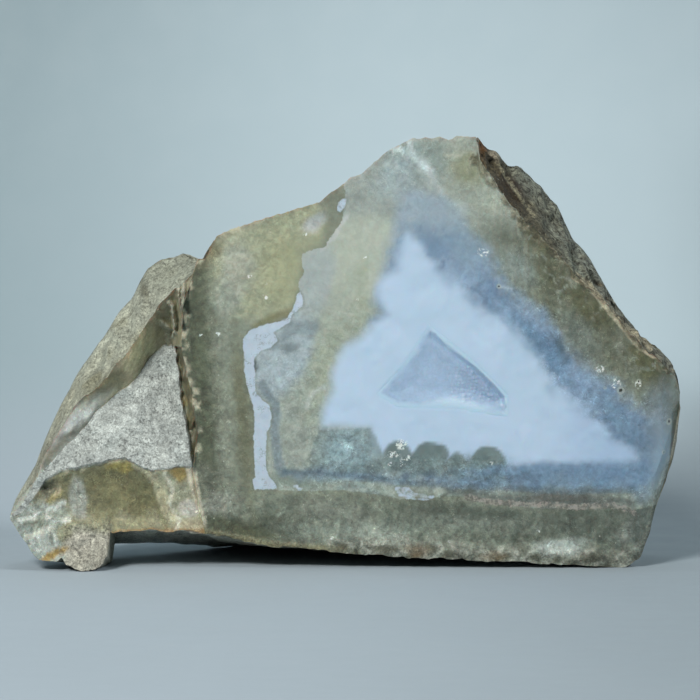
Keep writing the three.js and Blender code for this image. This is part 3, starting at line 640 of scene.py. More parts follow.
# the bluish ones over the mist
OVER_MIST_PATCHES = [
    # blue-grey veil at the right corner
    ((126, 144, 156), 2, 0.85, (51.5, 23, 6.5, 2.5, 75)),
    # light bevel at the right
    ((136, 160, 176), 1.2, 0.75, (52.8, 18.5, 5, 1.6, 75)),
    # dark blot in the mist, first
    ((104, 128, 150), 1.2, 0.9, (30, 38, 5, 1.4, -50)),
    # dark blot in the mist, second
    ((72, 92, 104), 0.8, 0.95, (35.8, 36.6, 2.2, 1.2, -70)),
    # deeper blue along the core's right shore
    ((98, 130, 156), 1.1, 0.85, (31.5, 38, 9.5, 1.8, -45)),
    # dusky blue inside the right corner
    ((100, 126, 150), 1.6, 0.6, (48.5, 22, 4.5, 2.4, -50)),
    # dark blot in the mist, third
    ((108, 136, 158), 1.2, 0.85, (45.5, 25.5, 5, 1.6, -45)),
    # dark blot in the mist, upper
    ((126, 150, 166), 1.4, 0.7, (20, 53.5, 5, 2.4, -40)),
    # light blue streak in the mist
    ((150, 174, 196), 1, 0.4, (26.5, 43.5, 2.2, 1, -40)),
    # light blue streak, lower
    ((134, 160, 186), 1, 0.7, (39.5, 31.5, 3.5, 1.2, -40)),
    # pale foot of the blue band
    ((140, 160, 170), 0.9, 0.8, (49.8, 14, 2.6, 1.6, 80)),
]
# Dark seams laid last, under the crystal row and the blue band
LOW_SEAMS = [
    # dark crystal fringe
    ((96, 114, 116), 0.5, 0.6, [[-2.5, 17.3], [4.5, 18], [12.5, 17.3], [19.2, 16.3], [26.8, 15.6],
        [26.8, 14.6], [19.2, 14.9], [12.5, 15.6], [4.5, 16.3], [-2.5, 15.6]]),
    # dark seam under the blue band
    ((88, 96, 92), 0.5, 0.9, [[15.8, 13.9], [20.8, 13.3], [25.8, 12.3], [30.8, 11.6], [37.5, 11.6],
        [42.5, 11.9], [47.8, 11.6], [48.2, 10.8], [42.5, 10.6], [35.8, 10.6], [29.2, 10.9],
        [22.5, 11.9], [16.8, 12.6]]),
    # brown seam, right
    ((84, 86, 82), 0.4, 0.8, (36, 12, 6, 0.8, 0)),
]
# Patches laid over the outer zone
OUTER_PATCHES = [
    # shade along the crack
    ((74, 82, 64), 1.2, 0.85, (-24.5, 34.5, 19.5, 1.8, -85)),
    # painted shadow cast by the wing's edge onto the face, by the crack's foot
    ((106, 112, 98), 0.8, 0.9, (-23.7, 15.1, 2.6, 1.8, -55)),
    # grey window left of the mottle
    ((142, 152, 142), 1.4, 0.8, (-19.5, 45.5, 3.5, 2.2, -85)),
    # lilac-grey mottle in the yellow
    ((158, 164, 150), 1.2, 0.85, (-18, 50.5, 4, 2.8, -85)),
    # dusky rim by the crack's head
    ((98, 98, 76), 0.8, 0.8, (-23.5, 53.5, 4, 1.4, 70)),
    # cream rim of the top edge
    ((178, 176, 152), 0.6, 0.6, (-18, 58, 5, 1, 20)),
    # grey-green middle
    ((132, 143, 130), 2, 0.7, [[-20.5, 40], [-16.5, 41.7], [-12.5, 42], [-13.8, 40.7],
        [-16.8, 39.3], [-17.5, 36.7], [-19.8, 34.7], [-21.5, 37]]),
    # olive shade left of the white band
    ((104, 108, 86), 0.9, 0.85, (-17, 25, 12.5, 1.2, -85)),
    # olive shade over the white band
    ((112, 114, 84), 0.6, 0.9, [[-15.8, 40.7], [-14.8, 41.3], [-11.8, 42.7], [-9.2, 43.4],
        [-8.8, 42.4], [-11.5, 41.5], [-13.8, 40.5], [-15.5, 40]]),
    # bright grains column
    ((136, 144, 130), 1.4, 0.7, (-20, 22, 7, 1.4, 90)),
    # pale cloud by the crack's foot
    ((152, 158, 146), 1.4, 0.8, (-21.5, 11, 3, 1.8, 5)),
    # painted highlight along the lit top edge
    ((172, 172, 150), 0.8, 0.5, (-17.5, 57, 6, 0.6, 25)),
    # shadow under the top edge at left
    ((106, 104, 78), 0.7, 0.8, (-22, 52.4, 2.2, 0.8, 60)),
    # bright yellow clump
    ((186, 186, 160), 0.6, 0.7, (-5.7, 57, 1.8, 1, 5)),
    # lilac clump
    ((164, 173, 176), 0.6, 0.8, (-5.1, 57.8, 2, 1.2, 30)),
    # yellow band beside the inner zone
    ((152, 156, 124), 1.5, 0.6, (-10.5, 50.5, 6, 3, 90)),
    # dark clouds low left
    ((46, 50, 28), 1.6, 0.7, (-15, 7, 5, 1.6, -5)),
    # olive shade of the bottom edge at left
    ((74, 78, 54), 0.8, 0.7, (-16, 6, 5, 1.2, -8)),
    # olive gap in the crust
    ((84, 82, 62), 0.6, 0.7, (6.7, 3.2, 2.4, 0.8, 0)),
    # pale cloud low middle
    ((126, 133, 122), 1.6, 0.7, (-1.5, 9.5, 5.5, 1.8, -10)),
    # pale band low middle
    ((142, 154, 142), 1.4, 0.8, (3.5, 6.5, 10, 1.2, 0)),
    # grey band low right
    ((113, 122, 112), 1.4, 0.8, (22.5, 8, 10, 1.8, -5)),
    # dark green strip under the pink seam
    ((80, 90, 80), 0.8, 0.8, (21.5, 9.5, 9.5, 1, -5)),
    # dark green window low right
    ((82, 91, 82), 1.4, 0.7, (39.5, 7.5, 7, 2, -5)),
    # pale right foot
    ((132, 142, 134), 1, 0.7, (48, 6.5, 3.5, 1.2, 55)),
    # white crust patch, right
    ((172, 184, 178), 0.8, 0.85, (36, 3.5, 4, 1.4, 5)),
    # white crust patch, middle
    ((160, 170, 158), 0.8, 0.7, (5.5, 5.5, 4.5, 1.2, -10)),
    # white crust patch under the middle one
    ((156, 162, 149), 0.8, 0.6, (9.2, 4.3, 2.4, 0.8, -6)),
    # rusty crust spot
    ((104, 78, 40), 0.5, 0.54, (12.1, 2.9, 2, 1, -5)),
    # brown crust spot
    ((122, 104, 72), 0.6, 0.48, (24.7, 1.9, 2.2, 0.8, 0)),
    # dark crust gap, first
    ((84, 84, 66), 0.5, 0.8, (-0.3, 3.6, 1, 0.6, -5)),
    # dark crust gap, second
    ((80, 84, 72), 0.6, 0.8, (18.2, 2.1, 1.2, 0.6, -10)),
    # dark crust gap, third
    ((86, 90, 78), 0.6, 0.8, (40, 1.5, 5, 0.6, 0)),
]
# [height, x] where the scallop's pale right side begins
PALE_SIDE = [[8, -29.5], [9, -30], [11.7, -30.3], [17, -34]]
# Patches of the wing, by the segment that they lie on
SCALLOP_PATCHES = [
    # ochre under the ledge
    ((150, 140, 84), 0.5, 0.85, (-37.4, 17.4, 2.6, 1, 0)),
    # orange stain
    ((146, 128, 72), 0.8, 0.85, (-27.8, 16.2, 1.8, 1.2, -35)),
    # dark heart of the scallop
    ((118, 116, 84), 1.6, 0.8, (-36.5, 13, 6.5, 3, -25)),
    # feathery dots
    ((114, 114, 84), 1, 0.6, (-39.8, 10.9, 2.4, 2, -60)),
    # light foot of the scallop
    ((146, 146, 116), 1, 0.6, (-37.5, 7.5, 7, 1.2, 0)),
    # pale arc beside the knob
    ((152, 158, 150), 0.8, 0.85, (-44.5, 12, 3.5, 1.6, -80)),
    # white patch
    ((190, 190, 180), 0.7, 0.8, (-26.2, 10, 1.8, 1.4, -40)),
    # cream foot
    ((160, 150, 124), 0.8, 0.6, (-24.5, 7, 4.5, 1.2, -5)),
    # green facet of the knob
    ((142, 152, 138), 0.9, 0.8, (-49.5, 8.5, 4, 1.6, 15)),
    # olive facet
    ((136, 138, 110), 0.8, 0.8, (-46.8, 6.3, 1.8, 1.4, 70)),
    # white lumps of the knob
    ((178, 188, 180), 0.7, 0.7, (-50.4, 4.8, 2.6, 1.8, -10)),
    # hole above the knob, painted dark as its shade
    ((104, 106, 90), 0.5, 0.95, (-49.6, 13.7, 1.6, 1.4, 0)),
    # painted shade in the cleft left of the hole
    ((92, 92, 74), 0.7, 0.8, (-51.7, 14.6, 3, 1, 85)),
    # ochre rim of the hole
    ((150, 142, 92), 0.4, 0.8, (-49.3, 11.5, 2.6, 0.4, 40)),
    # ochre streak on the foot
    ((152, 128, 66), 0.4, 0.9, (-48.5, 2.7, 2.6, 0.6, 25)),
    # brown skin at the tip
    ((120, 116, 98), 0.9, 0.8, (-54.3, 10.8, 2.6, 1, 70)),
    # white grit of the foot
    ((192, 190, 176), 0.6, 0.6, (-44.5, 4.8, 2, 1.6, 15)),
    # painted shade on the foot's right side, which faces away from the light
    ((96, 96, 78), 0.5, 0.7, (-39.2, 3.5, 2.4, 0.4, -90)),
]
RECESS_PATCHES = [
    # olive shoulder of the recess
    ((116, 115, 88), 1, 0.9, (-40.5, 31, 3.5, 1.8, 25)),
    # light window of the recess
    ((186, 184, 144), 1, 0.85, (-34.5, 36.5, 3.5, 1.6, 70)),
    # pale lavender glass of the recess
    ((204, 210, 206), 1, 0.85, (-44.5, 24.5, 6, 1.4, 45)),
    # dark seam along the facet
    ((108, 106, 88), 0.8, 0.8, [[-50.8, 18], [-49.2, 20.6], [-47.2, 22.3], [-44.2, 24.3],
        [-41.5, 26.3], [-39.2, 28], [-38.5, 27.3], [-41.2, 25.3], [-44.2, 22.6], [-47.2, 20.3],
        [-49.5, 17.3]]),
]
STRIP_PATCHES = [
    # cream grains of the strip
    ((170, 170, 148), 1, 0.5, (-46.5, 27.5, 5, 1.4, 60)),
    # dark pit of the strip
    ((118, 118, 98), 0.4, 0.8, (-33.7, 46.2, 1.4, 0.6, -75)),
    # brown edge of the strip
    ((128, 124, 104), 0.8, 0.7, (-50.5, 18.5, 4.5, 0.6, 65)),
]
FACET_PATCHES = [
    # grey foot of the facet
    ((186, 194, 190), 1.2, 0.6, (-41, 18.5, 6.5, 1.4, 5)),
]
# Strokes: colour, half width, softness, strength, path
WING_STROKES = [
    # white edge of the scallop's pale right side
    ((196, 196, 178), 0.2, 0.2, 0.9, [[-30.2, 16.2], [-28.8, 13.3], [-29.5, 10.8], [-27.8, 8.3],
        [-28.2, 6.3]]),
    # pale ridges of the knob, lightened as painted highlights
    ((200, 208, 200), 0.2, 0.25, 0.85, [[-54.6, 8.2], [-52, 8.8], [-50.4, 10.8], [-48.6, 10.4],
        [-46.8, 11.4]]),
    ((200, 208, 200), 0.2, 0.25, 0.85, [[-50.4, 10.8], [-49.6, 8.8], [-47.8, 7.8], [-46.4, 8.4]]),
    # painted shade in the crease between the knob's ridges
    ((90, 96, 84), 0.12, 0.25, 0.8, [[-53.6, 7.6], [-51, 8], [-49.4, 7.2], [-48.8, 4.6]]),
    # pale line inside the scallop
    ((172, 170, 142), 0.55, 0.35, 0.85, [[-35, 17.8], [-32.8, 16.5], [-31.5, 14.6], [-30.5, 11.6],
        [-29.8, 9.3], [-28.8, 8.1]]),
    # cream edge of the wing's foot
    ((188, 184, 164), 0.45, 0.3, 0.9, [[-26, 16.6], [-25.5, 14.3], [-24.7, 11.3], [-23, 8.6]]),
    # pale ridge of the knob, lightened as a painted highlight
    ((196, 202, 190), 0.35, 0.3, 0.8, [[-53.5, 5.3], [-50.8, 6.3], [-48.5, 7.6], [-46.2, 8.6]]),
    # orange hem
    ((140, 112, 66), 0.35, 0.25, 0.8, [[-38.8, 6.1], [-34.2, 6.4], [-30.8, 6.1], [-27.5, 6.3],
        [-24.2, 6.1], [-19.8, 5.4]]),
    # ring beside the hole
    ((164, 160, 134), 0.3, 0.2, 0.8, [[-49.3, 13.6], [-48.5, 14.1], [-47.7, 13.4], [-48.2, 12.6]]),
]
RIND_PATCHES = [
    # orange lump at the rind's top
    ((122, 82, 40), 0.6, 0.9, (22.4, 70.9, 1.6, 1.2, -75)),
    # pale lump
    ((168, 158, 134), 0.5, 0.8, (24.8, 69.1, 1.4, 0.8, -60)),
    # pale green plates
    ((116, 122, 102), 0.8, 0.5, (35, 59.4, 2.2, 1.2, -55)),
    # painted shade in the dark brown hollow under the top plates
    ((46, 30, 12), 0.8, 1.0, (27.8, 63, 3.4, 1.7, -52)),
    # grey plates
    ((112, 114, 98), 1.2, 0.7, (34, 58.6, 6, 1.8, -60)),
    # grey-green plates
    ((140, 150, 136), 1.2, 0.7, (39, 49.5, 5, 1, -55)),
]
RIND_STROKES = [
    # painted shade in the crevice along the face
    ((78, 72, 52), 0.4, 0.4, 0.45, [[23.2, 69.1], [25.5, 65.4], [27.5, 62.4], [29.8, 59.4],
        [32.5, 56.1], [35.5, 52.7], [38.5, 49.4]]),
    # pale rim of the face
    ((170, 164, 138), 0.38, 0.25, 0.9, [[38.8, 49], [40.8, 47.4], [42.8, 45], [44.5, 42.7],
        [46.8, 40.3], [49.2, 38.7], [51.2, 37]]),
    # pale rim, upper
    ((160, 156, 128), 0.25, 0.2, 0.7, [[25.8, 67.4], [27.8, 64.1], [30.2, 60.7], [31.5, 59.1]]),
]
FACE_STROKES = [
    # vein at the apex, left
    ((180, 198, 198), 0.28, 0.3, 0.8, [[7.2, 70.1], [8.5, 70.1], [9.8, 69.8], [10.8, 69.1]]),
    # vein at the apex, right
    ((186, 202, 202), 0.28, 0.35, 0.8, [[10.7, 71.3], [10.8, 70.1], [11.3, 68.9], [12.7, 67.6],
        [14.2, 66.4]]),
    # hair line at the apex
    ((176, 182, 166), 0.2, 0.2, 0.7, [[16.5, 69.4], [17.8, 69.1], [19.5, 69.3]]),
    # soft pale spots by the rind
    ((132, 140, 130), 0.3, 0.4, 0.8, [[36.8, 40.3], [36.9, 40.2]]),
    ((124, 132, 122), 0.25, 0.4, 0.7, [[39.3, 40], [39.4, 40]]),
    # pale rim of the face below the rind
    ((172, 168, 144), 0.25, 0.25, 0.85, [[38.2, 48.6], [40.8, 47], [42.5, 44.9], [45.8, 40.8],
        [49.2, 37], [51.7, 35.4]]),
    # cream lumps on the rim
    ((180, 176, 152), 0.4, 0.3, 0.85, [[33.4, 55.6], [34.2, 54.6], [34.9, 53.4]]),
    # pale arc under the rind
    ((150, 156, 140), 0.15, 0.2, 0.7, [[29.1, 59.4], [28.7, 57.2], [29.3, 55.1]]),
    # streak beside the upper pinhole
    ((160, 178, 190), 0.12, 0.2, 0.7, [[25.8, 47.2], [27.8, 46.9]]),
    # painted blue-grey shadow line beside the white band
    ((118, 134, 140), 0.55, 0.5, 0.85, [[-13.5, 30.7], [-12.8, 29.3], [-11.8, 27.6], [-11.5, 25.6],
        [-11.7, 23.3], [-11.5, 20.6], [-11.2, 18], [-10.2, 16]]),
    # olive crease by the band's head
    ((92, 94, 66), 0.3, 0.3, 0.8, [[-16.5, 39.7], [-14.8, 40.7], [-12.2, 41.8]]),
    # dark pit beside the band
    ((72, 84, 86), 0.35, 0.4, 0.85, [[-15.4, 34.9], [-15, 34.2], [-14.9, 33.6]]),
    # pale arc over the low middle
    ((172, 182, 176), 0.2, 0.3, 0.8, [[-6.3, 26.9], [-6.1, 28.5], [-5.2, 29.7], [-3.8, 30.4],
        [-2.9, 30]]),
    # lilac line from the pale fleck down
    ((178, 184, 184), 0.25, 0.35, 0.7, [[0.4, 58.8], [-0.9, 57.4], [-1.7, 55.8], [-3, 54.8],
        [-3.8, 53.6]]),
    # feathery crack, low
    ((160, 164, 150), 0.22, 0.2, 0.7, [[3.2, 10.9], [3.7, 9.9], [3.8, 9.3]]),
    # feathery crack, low left
    ((164, 166, 152), 0.3, 0.3, 0.6, [[-22.5, 13.3], [-21.5, 14.3], [-20.5, 14.6]]),
    # green hair under the fleck
    ((140, 150, 126), 0.25, 0.25, 0.7, [[-7.5, 12.8], [-4.5, 12.3], [-1.8, 12.6]]),
    # dark blue seam under the row
    ((84, 104, 118), 0.25, 0.5, 0.55, [[-10, 16.2], [-4.2, 16.2], [2.5, 15.4], [9.2, 14.6],
        [15.8, 13.9], [22.5, 13.7], [29.2, 13.4], [35.8, 13], [42.5, 13], [48.6, 13.2]]),
    # green shade under the white flecks
    ((70, 80, 70), 0.3, 0.35, 0.8, [[-13.3, 12.8], [-7.5, 12.3], [-0.8, 12.4], [6.7, 12],
        [8.8, 10.9], [15.2, 10.7], [16.7, 11.9], [22.5, 11.3]]),
    # brown shade under the pink seam
    ((76, 76, 64), 0.25, 0.4, 0.7, [[22.5, 10.6], [30, 9.7], [36, 9.6], [42.5, 9.6], [47, 9.3]]),
    # grey-green leaf between the flecks
    ((136, 152, 148), 0.35, 0.35, 0.8, [[-1, 13.6], [1.2, 13.9], [3, 13.5], [5, 12.8]]),
    # pale diagonal of the foot
    ((160, 168, 156), 0.4, 0.5, 0.6, [[49.2, 10.3], [47.8, 8.3], [46.5, 5.9], [45.5, 4.3]]),
]

# [x, height, half width, half height] of cloudy places that hardly glitter
CLOUDY_BY_CORE = [4, 52, 9, 7]
CLOUDY_YELLOW = [-14, 50, 9, 8]
CLOUDY_APEX = [17, 58, 6, 7]
# stored distances that mean: nowhere near
FAR_OUTSIDE = -3
FAR_AWAY = 9
FAINT_DEPTH = 0.03  # the faint flecks never count as deeper inside than this
SEAM_HALF = 0.6  # half the pink seam's width


def pigment(r, g, b):
    """A colour as it looks, 0 to 255, made linear."""
    c = np.array([r, g, b]) / 255
    return np.where(c <= 0.04045, c / 12.92, ((c + 0.055) / 1.055) ** 2.4)


class Paint:
    """Colours at each point, laid over each other. The edges of patches and strokes wander with noise."""

    def __init__(self, x, y, z, ground):
        """Starts with one ground colour everywhere."""
        self.x, self.y, self.z = x, y, z
        self.wander_x = grit(x, y, z, 2.2, 3, 51)
        self.wander_z = grit(x, y, z, 2.2, 3, 52)
        self.tint = np.empty(x.shape + (3,))
        self.tint[:] = pigment(*ground)

    def lay(self, colour, mask):
        """Moves each point's colour towards this one by the mask's share."""
        share = np.clip(np.broadcast_to(mask, self.x.shape), 0, 1)[..., None]
        self.tint += (pigment(*colour) - self.tint) * share

    def zone(self, outline, soft, warp=0.5):
        """1 inside an outline or an oval and 0 outside, across an edge that is soft on both sides."""
        x, z = self.x + warp * self.wander_x, self.z + warp * self.wander_z
        d = oval(x, z, *outline) if isinstance(outline, tuple) else inside(x, z, outline)
        return smooth(-soft, soft, d)

    def patches(self, rows, where=1.0, firm=1.0):
        """Lays soft-edged outlines and ovals; firm divides their softness."""
        for colour, soft, strength, outline in rows:
            self.lay(colour, where * strength * self.zone(outline, soft / firm, min(1.2, 0.3 + 0.5 * soft)))

    def strokes(self, rows, where=1.0):
        """Lays lines of a given half width, each with a soft border."""
        for colour, half, soft, strength, path in rows:
            warp = 0.5 * min(1, half + soft)
            d = beside(self.x + warp * self.wander_x, self.z + warp * self.wander_z, path)
            self.lay(colour, where * strength * smooth(half + soft, half, d))


def paint_outer(x, y, z, to_crack):
    """Olive outer zone of the face: dark beside the crack, yellow at the top left, dull below."""
    cloud = grit(x, y, z, 5, 4, 53)
    fine = grit(x, y, z, 1.5, 3, 54)
    above = z - along(LOWER_EDGE, x)
    p = Paint(x, y, z, (120, 128, 113))
    p.lay((84, 92, 75), 0.95 * smooth(7.5, 1.5, to_crack + 1.5 * cloud))
    p.lay((149, 156, 131), p.zone(YELLOW_ZONE, 1.4))
    p.lay((154, 161, 138), p.zone(MOTTLED_ZONE, 1.4) * (0.65 + 0.5 * fine))
    p.lay((106, 115, 102), smooth(13.5, 9.5, z + 0.8 * cloud) * smooth(-20, -10, x))
    p.lay((92, 101, 92), 0.6 * smooth(34, 44, x) * smooth(12, 9, z) * smooth(3, 5, z))
    lay_crust(p, x, y, z, above, cloud, fine)
    low = smooth(13, 11, z)
    blotch = grit(x, y, z, 1.8, 3, 77)
    p.lay((78, 88, 78), 0.5 * low * smooth(0.05, 0.45, blotch))
    p.lay((146, 154, 140), 0.45 * low * smooth(-0.05, -0.45, blotch))
    p.patches(OUTER_PATCHES)
    p.lay((124, 122, 92), smooth(1.3, 0.3, above + 0.4 * fine) * smooth(4, -4, x) * 0.75)
    p.lay((96, 106, 99), smooth(46.5, 49, x) * smooth(14, 10, z) * 0.8)
    p.lay((176, 176, 156), smooth(0.8, 0.3, to_crack + 0.3 * fine) * smooth(6.5, 8, z) * smooth(17.5, 16, z))
    crumbs = smooth(1.5, 0.2, to_crack + fine) * smooth(17, 19, z)
    p.lay((168, 168, 146), crumbs * smooth(0.0, 0.25, grit(x, y, z, 0.9, 2, 73)))
    return p.tint


def lay_crust(p, x, y, z, above, cloud, fine):
    """Gritty crust along the right part of the lower edge: pale, with white lumps and dark gaps."""
    crust = smooth(3.6, 1.4, above + 1.5 * cloud) * smooth(-10, 4, x) * smooth(50, 47, x)
    chunk = crags(x, y, 1.4 * z, 1.7) + 0.3 * fine
    p.lay((146, 152, 140), crust * (0.6 + 0.7 * fine))
    p.lay((178, 184, 172), crust * smooth(0.72, 0.9, chunk) * 0.8)
    p.lay((74, 74, 56), crust * smooth(0.42, 0.28, chunk) * 0.7)


def paint_inner(x, y, z):
    """Grey-green inner zone, cloudy on the right; blue mist, blue-white core, crystal row and blue band."""
    cloud = grit(x, y, z, 5, 4, 55)
    fine = grit(x, y, z, 1.3, 3, 56)
    fold = np.abs(grit(x + 1.5 * cloud, y, z + 1.5 * fine, 3.2, 4, 67))
    shore = inside(x, z, CORE)
    p = Paint(x, y, z, (148, 160, 151))
    lay_inner_ground(p, x, y, z, cloud, fine, fold, shore)
    lay_mist(p, x, y, z, cloud, fine, fold, shore)
    p.patches(OVER_MIST_PATCHES)
    lay_core(p, x, y, z, cloud, shore)
    lay_crystal_row(p, x, z, fine)
    band_strength = (0.75 + 0.4 * cloud) * (0.55 + 0.45 * smooth(0, 28, x))
    p.lay((106, 137, 164), p.zone(BLUE_BAND, 1.0, 0.9) * band_strength)
    p.lay((90, 112, 132), p.zone(BLUE_BAND, 0.7, 0.5) * 0.7 * smooth(0.1, 0.5, grit(x, y, z, 1.8, 3, 58)))
    p.patches(LOW_SEAMS)
    p.strokes(FACE_STROKES)
    # painted shade: inside the hollow's rim the face takes the crust's grey-blue, except on the lit lower
    # wall
    shaded_hollow_walls = smooth(0.15, 0.4, inside(x, z, HOLLOW_RIM)) * (1 - smooth(29.2, 26.8, z) * smooth(7, 9, x))
    p.lay((146, 171, 197), shaded_hollow_walls)
    return p.tint


def lay_inner_ground(p, x, y, z, cloud, fine, fold, shore):
    """Pale clouds left of the core and under the apex, olive ground on the right with pale wisps where a
    folded noise is near zero, and an olive fringe along the core's left shore."""
    p.lay((168, 178, 166), smooth(12, 3, np.hypot((x - 3) / 1.1, (z - 52) / 1.2)))
    below = 0.8 * smooth(14, 5, np.hypot(x + 2, (z - 42) / 1.2))
    p.lay((160, 170, 156), below * (0.5 + 0.6 * cloud + 0.4 * fine))
    p.lay((146, 157, 152), 0.9 * smooth(57.5, 60.5, z + cloud) * smooth(13, 8, x))
    right = smooth(14, 24, x + 2 * cloud)
    p.lay((124, 135, 127), right * smooth(66, 58, z))
    p.lay((148, 158, 148), smooth(12, 5, np.hypot(x - 20, z - 66)))
    p.lay((134, 148, 142), smooth(7, 3, np.hypot(x - 12, z - 68)))
    p.lay((148, 158, 138), 0.4 * smooth(3.4, 0.8, np.abs(shore + 2.2)) * (x < 4) * (z > 24) * (0.7 + fine))
    p.patches(UNDER_MIST_PATCHES)
    wisps = right * smooth(0.09, 0.0, fold) * smooth(-0.2, 0.3, grit(x, y, z, 6, 2, 68))
    p.lay((140, 150, 140), 0.6 * wisps)


def lay_mist(p, x, y, z, cloud, fine, fold, shore):
    """Blue mist round the core's upper and right side, with dark billows, dark folds and pale rolls near
    the shore."""
    mist = p.zone(MIST, 1.9, 1.3)
    p.lay((124, 148, 171), mist * (0.9 - 0.2 * cloud))
    p.lay((150, 167, 174), 0.7 * mist * smooth(52, 58, z + 2 * cloud))
    billow = grit(x + 1.2 * fine, y, z + 1.2 * cloud, 3.4, 3, 57)
    low_mist = mist * smooth(60, 54, z)
    p.lay((106, 134, 160), low_mist * 0.75 * smooth(0.02, 0.22, billow))
    p.lay((90, 116, 144), low_mist * 0.6 * smooth(0.07, 0.0, fold))
    p.lay((140, 166, 192), low_mist * 0.5 * smooth(-0.06, -0.2, billow) * smooth(7, 1, np.abs(shore)))


def lay_core(p, x, y, z, cloud, shore):
    """Blue-white core. Its left edge is firm; its upper right edge is soft and rolled."""
    soft_side = smooth(8, 16, x) * smooth(19.5, 22, z)
    rolls = 0.8 * np.abs(grit(x, y, z, 4, 3, 69)) * soft_side
    core = p.zone(CORE, 1.3, 0.5) * (1 - soft_side) + p.zone(CORE, 1.5, 1.5) * soft_side
    core = core * (1 - rolls * smooth(3, 0.5, np.abs(shore)))
    p.lay((177, 200, 221), core)
    p.lay((150, 178, 207), core * 0.8 * smooth(32, 46, x))
    p.lay((168, 194, 214), core * 0.5 * smooth(0.2, -0.5, cloud))


def lay_crystal_row(p, x, z, fine):
    """Glassy crystals that stand up into the core: a solid left part and round heads, each with a darker ring
    near its edge and a darker middle, painted shade that makes the heads look round."""
    heads = np.max([r - np.hypot(x - cx, z - cz) for cx, cz, r in ROW_HEADS], axis=0)
    row = smooth(-0.3, 0.3, np.maximum(heads, inside(x, z, ROW_LEFT)) + 0.3 * fine) * smooth(14.2, 15.2, z)
    p.lay((112, 130, 130), row * (1 - 0.35 * smooth(7, 5, x)))
    p.lay((132, 155, 160), row * smooth(6.5, 2, np.hypot(x - 0.5, z - 19.5)))
    # painted shade that rounds each head: a darker ring near its edge and a darker spot near its middle
    for cx, cz, r in ROW_HEADS:
        d = np.hypot(x - cx, z - cz) / r
        p.lay((92, 110, 112), 0.4 * row * (0.7 + fine) * smooth(0.62, 0.92, d) * smooth(1.12, 0.95, d))
        p.lay((96, 114, 114), 0.8 * row * smooth(0.7, 0.2, np.hypot(x - cx + 0.25 * r, z - cz - 0.3 * r) / r))


def lay_scallop(p, x, z, scallop, fine):
    """Olive scallop, paler on the right and under its ledge, with a gritty grey foot and knob. Returns the
    foot's share."""
    p.lay((118, 118, 90), scallop)
    p.lay((154, 157, 134), scallop * smooth(-0.5, 0.5, x - along(PALE_SIDE, z) + 0.6 * fine))
    p.lay((150, 150, 116), scallop * smooth(1.4, 0.3, along(LEDGE, x) - z) * 0.6)
    p.lay((216, 212, 186), scallop * smooth(0.8, 0.2, along(LEDGE, x) - z + 0.5 * fine) * 0.85)
    foot_span = smooth(-47.6, -46.4, x + 0.8 * fine) * smooth(-38.6, -39.4, x)
    foot = scallop * foot_span * smooth(8.6, 6.6, z + fine)
    p.lay((158, 163, 148), foot)
    p.lay((182, 182, 168), foot * smooth(7.2, 5.4, z + fine))
    p.lay((148, 159, 151), scallop * smooth(-46.2, -47.6, x + 0.8 * fine) * smooth(12.6, 10.4, z + fine))
    return foot


def lay_recess(p, x, z, recess, cloud, fine):
    """Yellow-brown recess, paler high up, grey at the far left and darker beside the crack."""
    p.lay((158, 154, 124), recess)
    p.lay((180, 174, 146), recess * smooth(29, 34, z) * smooth(-0.1, 0.3, cloud + fine))
    p.lay((166, 172, 160), recess * smooth(-42, -45, x))
    p.lay((134, 132, 110), recess * 0.7 * smooth(-32.6, -30.6, x + fine))


def paint_wing(x, y, z, segment):
    """Wing: grainy grey facet and strip, recess between them, scallop below them. Beside the crack pale
    flakes stand in a slot painted dark as its shade. Returns its colour and how grainy it is."""
    fine = grit(x, y, z, 1.3, 3, 59)
    cloud = grit(x, y, z, 4, 3, 65)
    p = Paint(x, y, z, (190, 198, 193))
    scallop, facet, recess, strip = (1.0 * (segment == band) for band in (SCALLOP, FACET, FLAT, STRIP))
    p.lay((176, 186, 182), facet * 0.7 * smooth(0, 0.4, cloud))
    foot = lay_scallop(p, x, z, scallop, fine)
    lay_recess(p, x, z, recess, cloud, fine)
    p.lay((176, 181, 164), strip)
    p.lay((156, 156, 128), strip * 0.5 * smooth(0.15, 0.5, cloud))
    p.lay((158, 164, 148), strip * 0.8 * smooth(45, 48, z))
    p.patches(SCALLOP_PATCHES, scallop, 2.2)
    p.patches(RECESS_PATCHES, np.maximum(recess, 0.6 * strip))
    p.patches(STRIP_PATCHES, strip)
    p.patches(FACET_PATCHES, facet)
    p.strokes(WING_STROKES, scallop)
    # painted shade: the slot beside the crack is dark, and brownish patches vary it
    slot = facet * smooth(0.1, 0.4, past_facet(x, y, z))
    p.lay((100, 100, 80), slot)
    p.lay((128, 118, 84), slot * smooth(0.1, 0.5, cloud + fine) * 0.7)
    raised = flakes(x, z)
    p.lay((172, 174, 156), np.maximum(slot, recess) * smooth(0.7, 1.4, raised + 0.4 * fine))
    grains = facet * (1 - slot) + strip + foot + 0.5 * scallop * smooth(-46.5, -48, x) * (0.4 + fine)
    return p.tint, np.clip(grains + 0.5 * smooth(0.4, 1.3, raised) * recess, 0, 1)


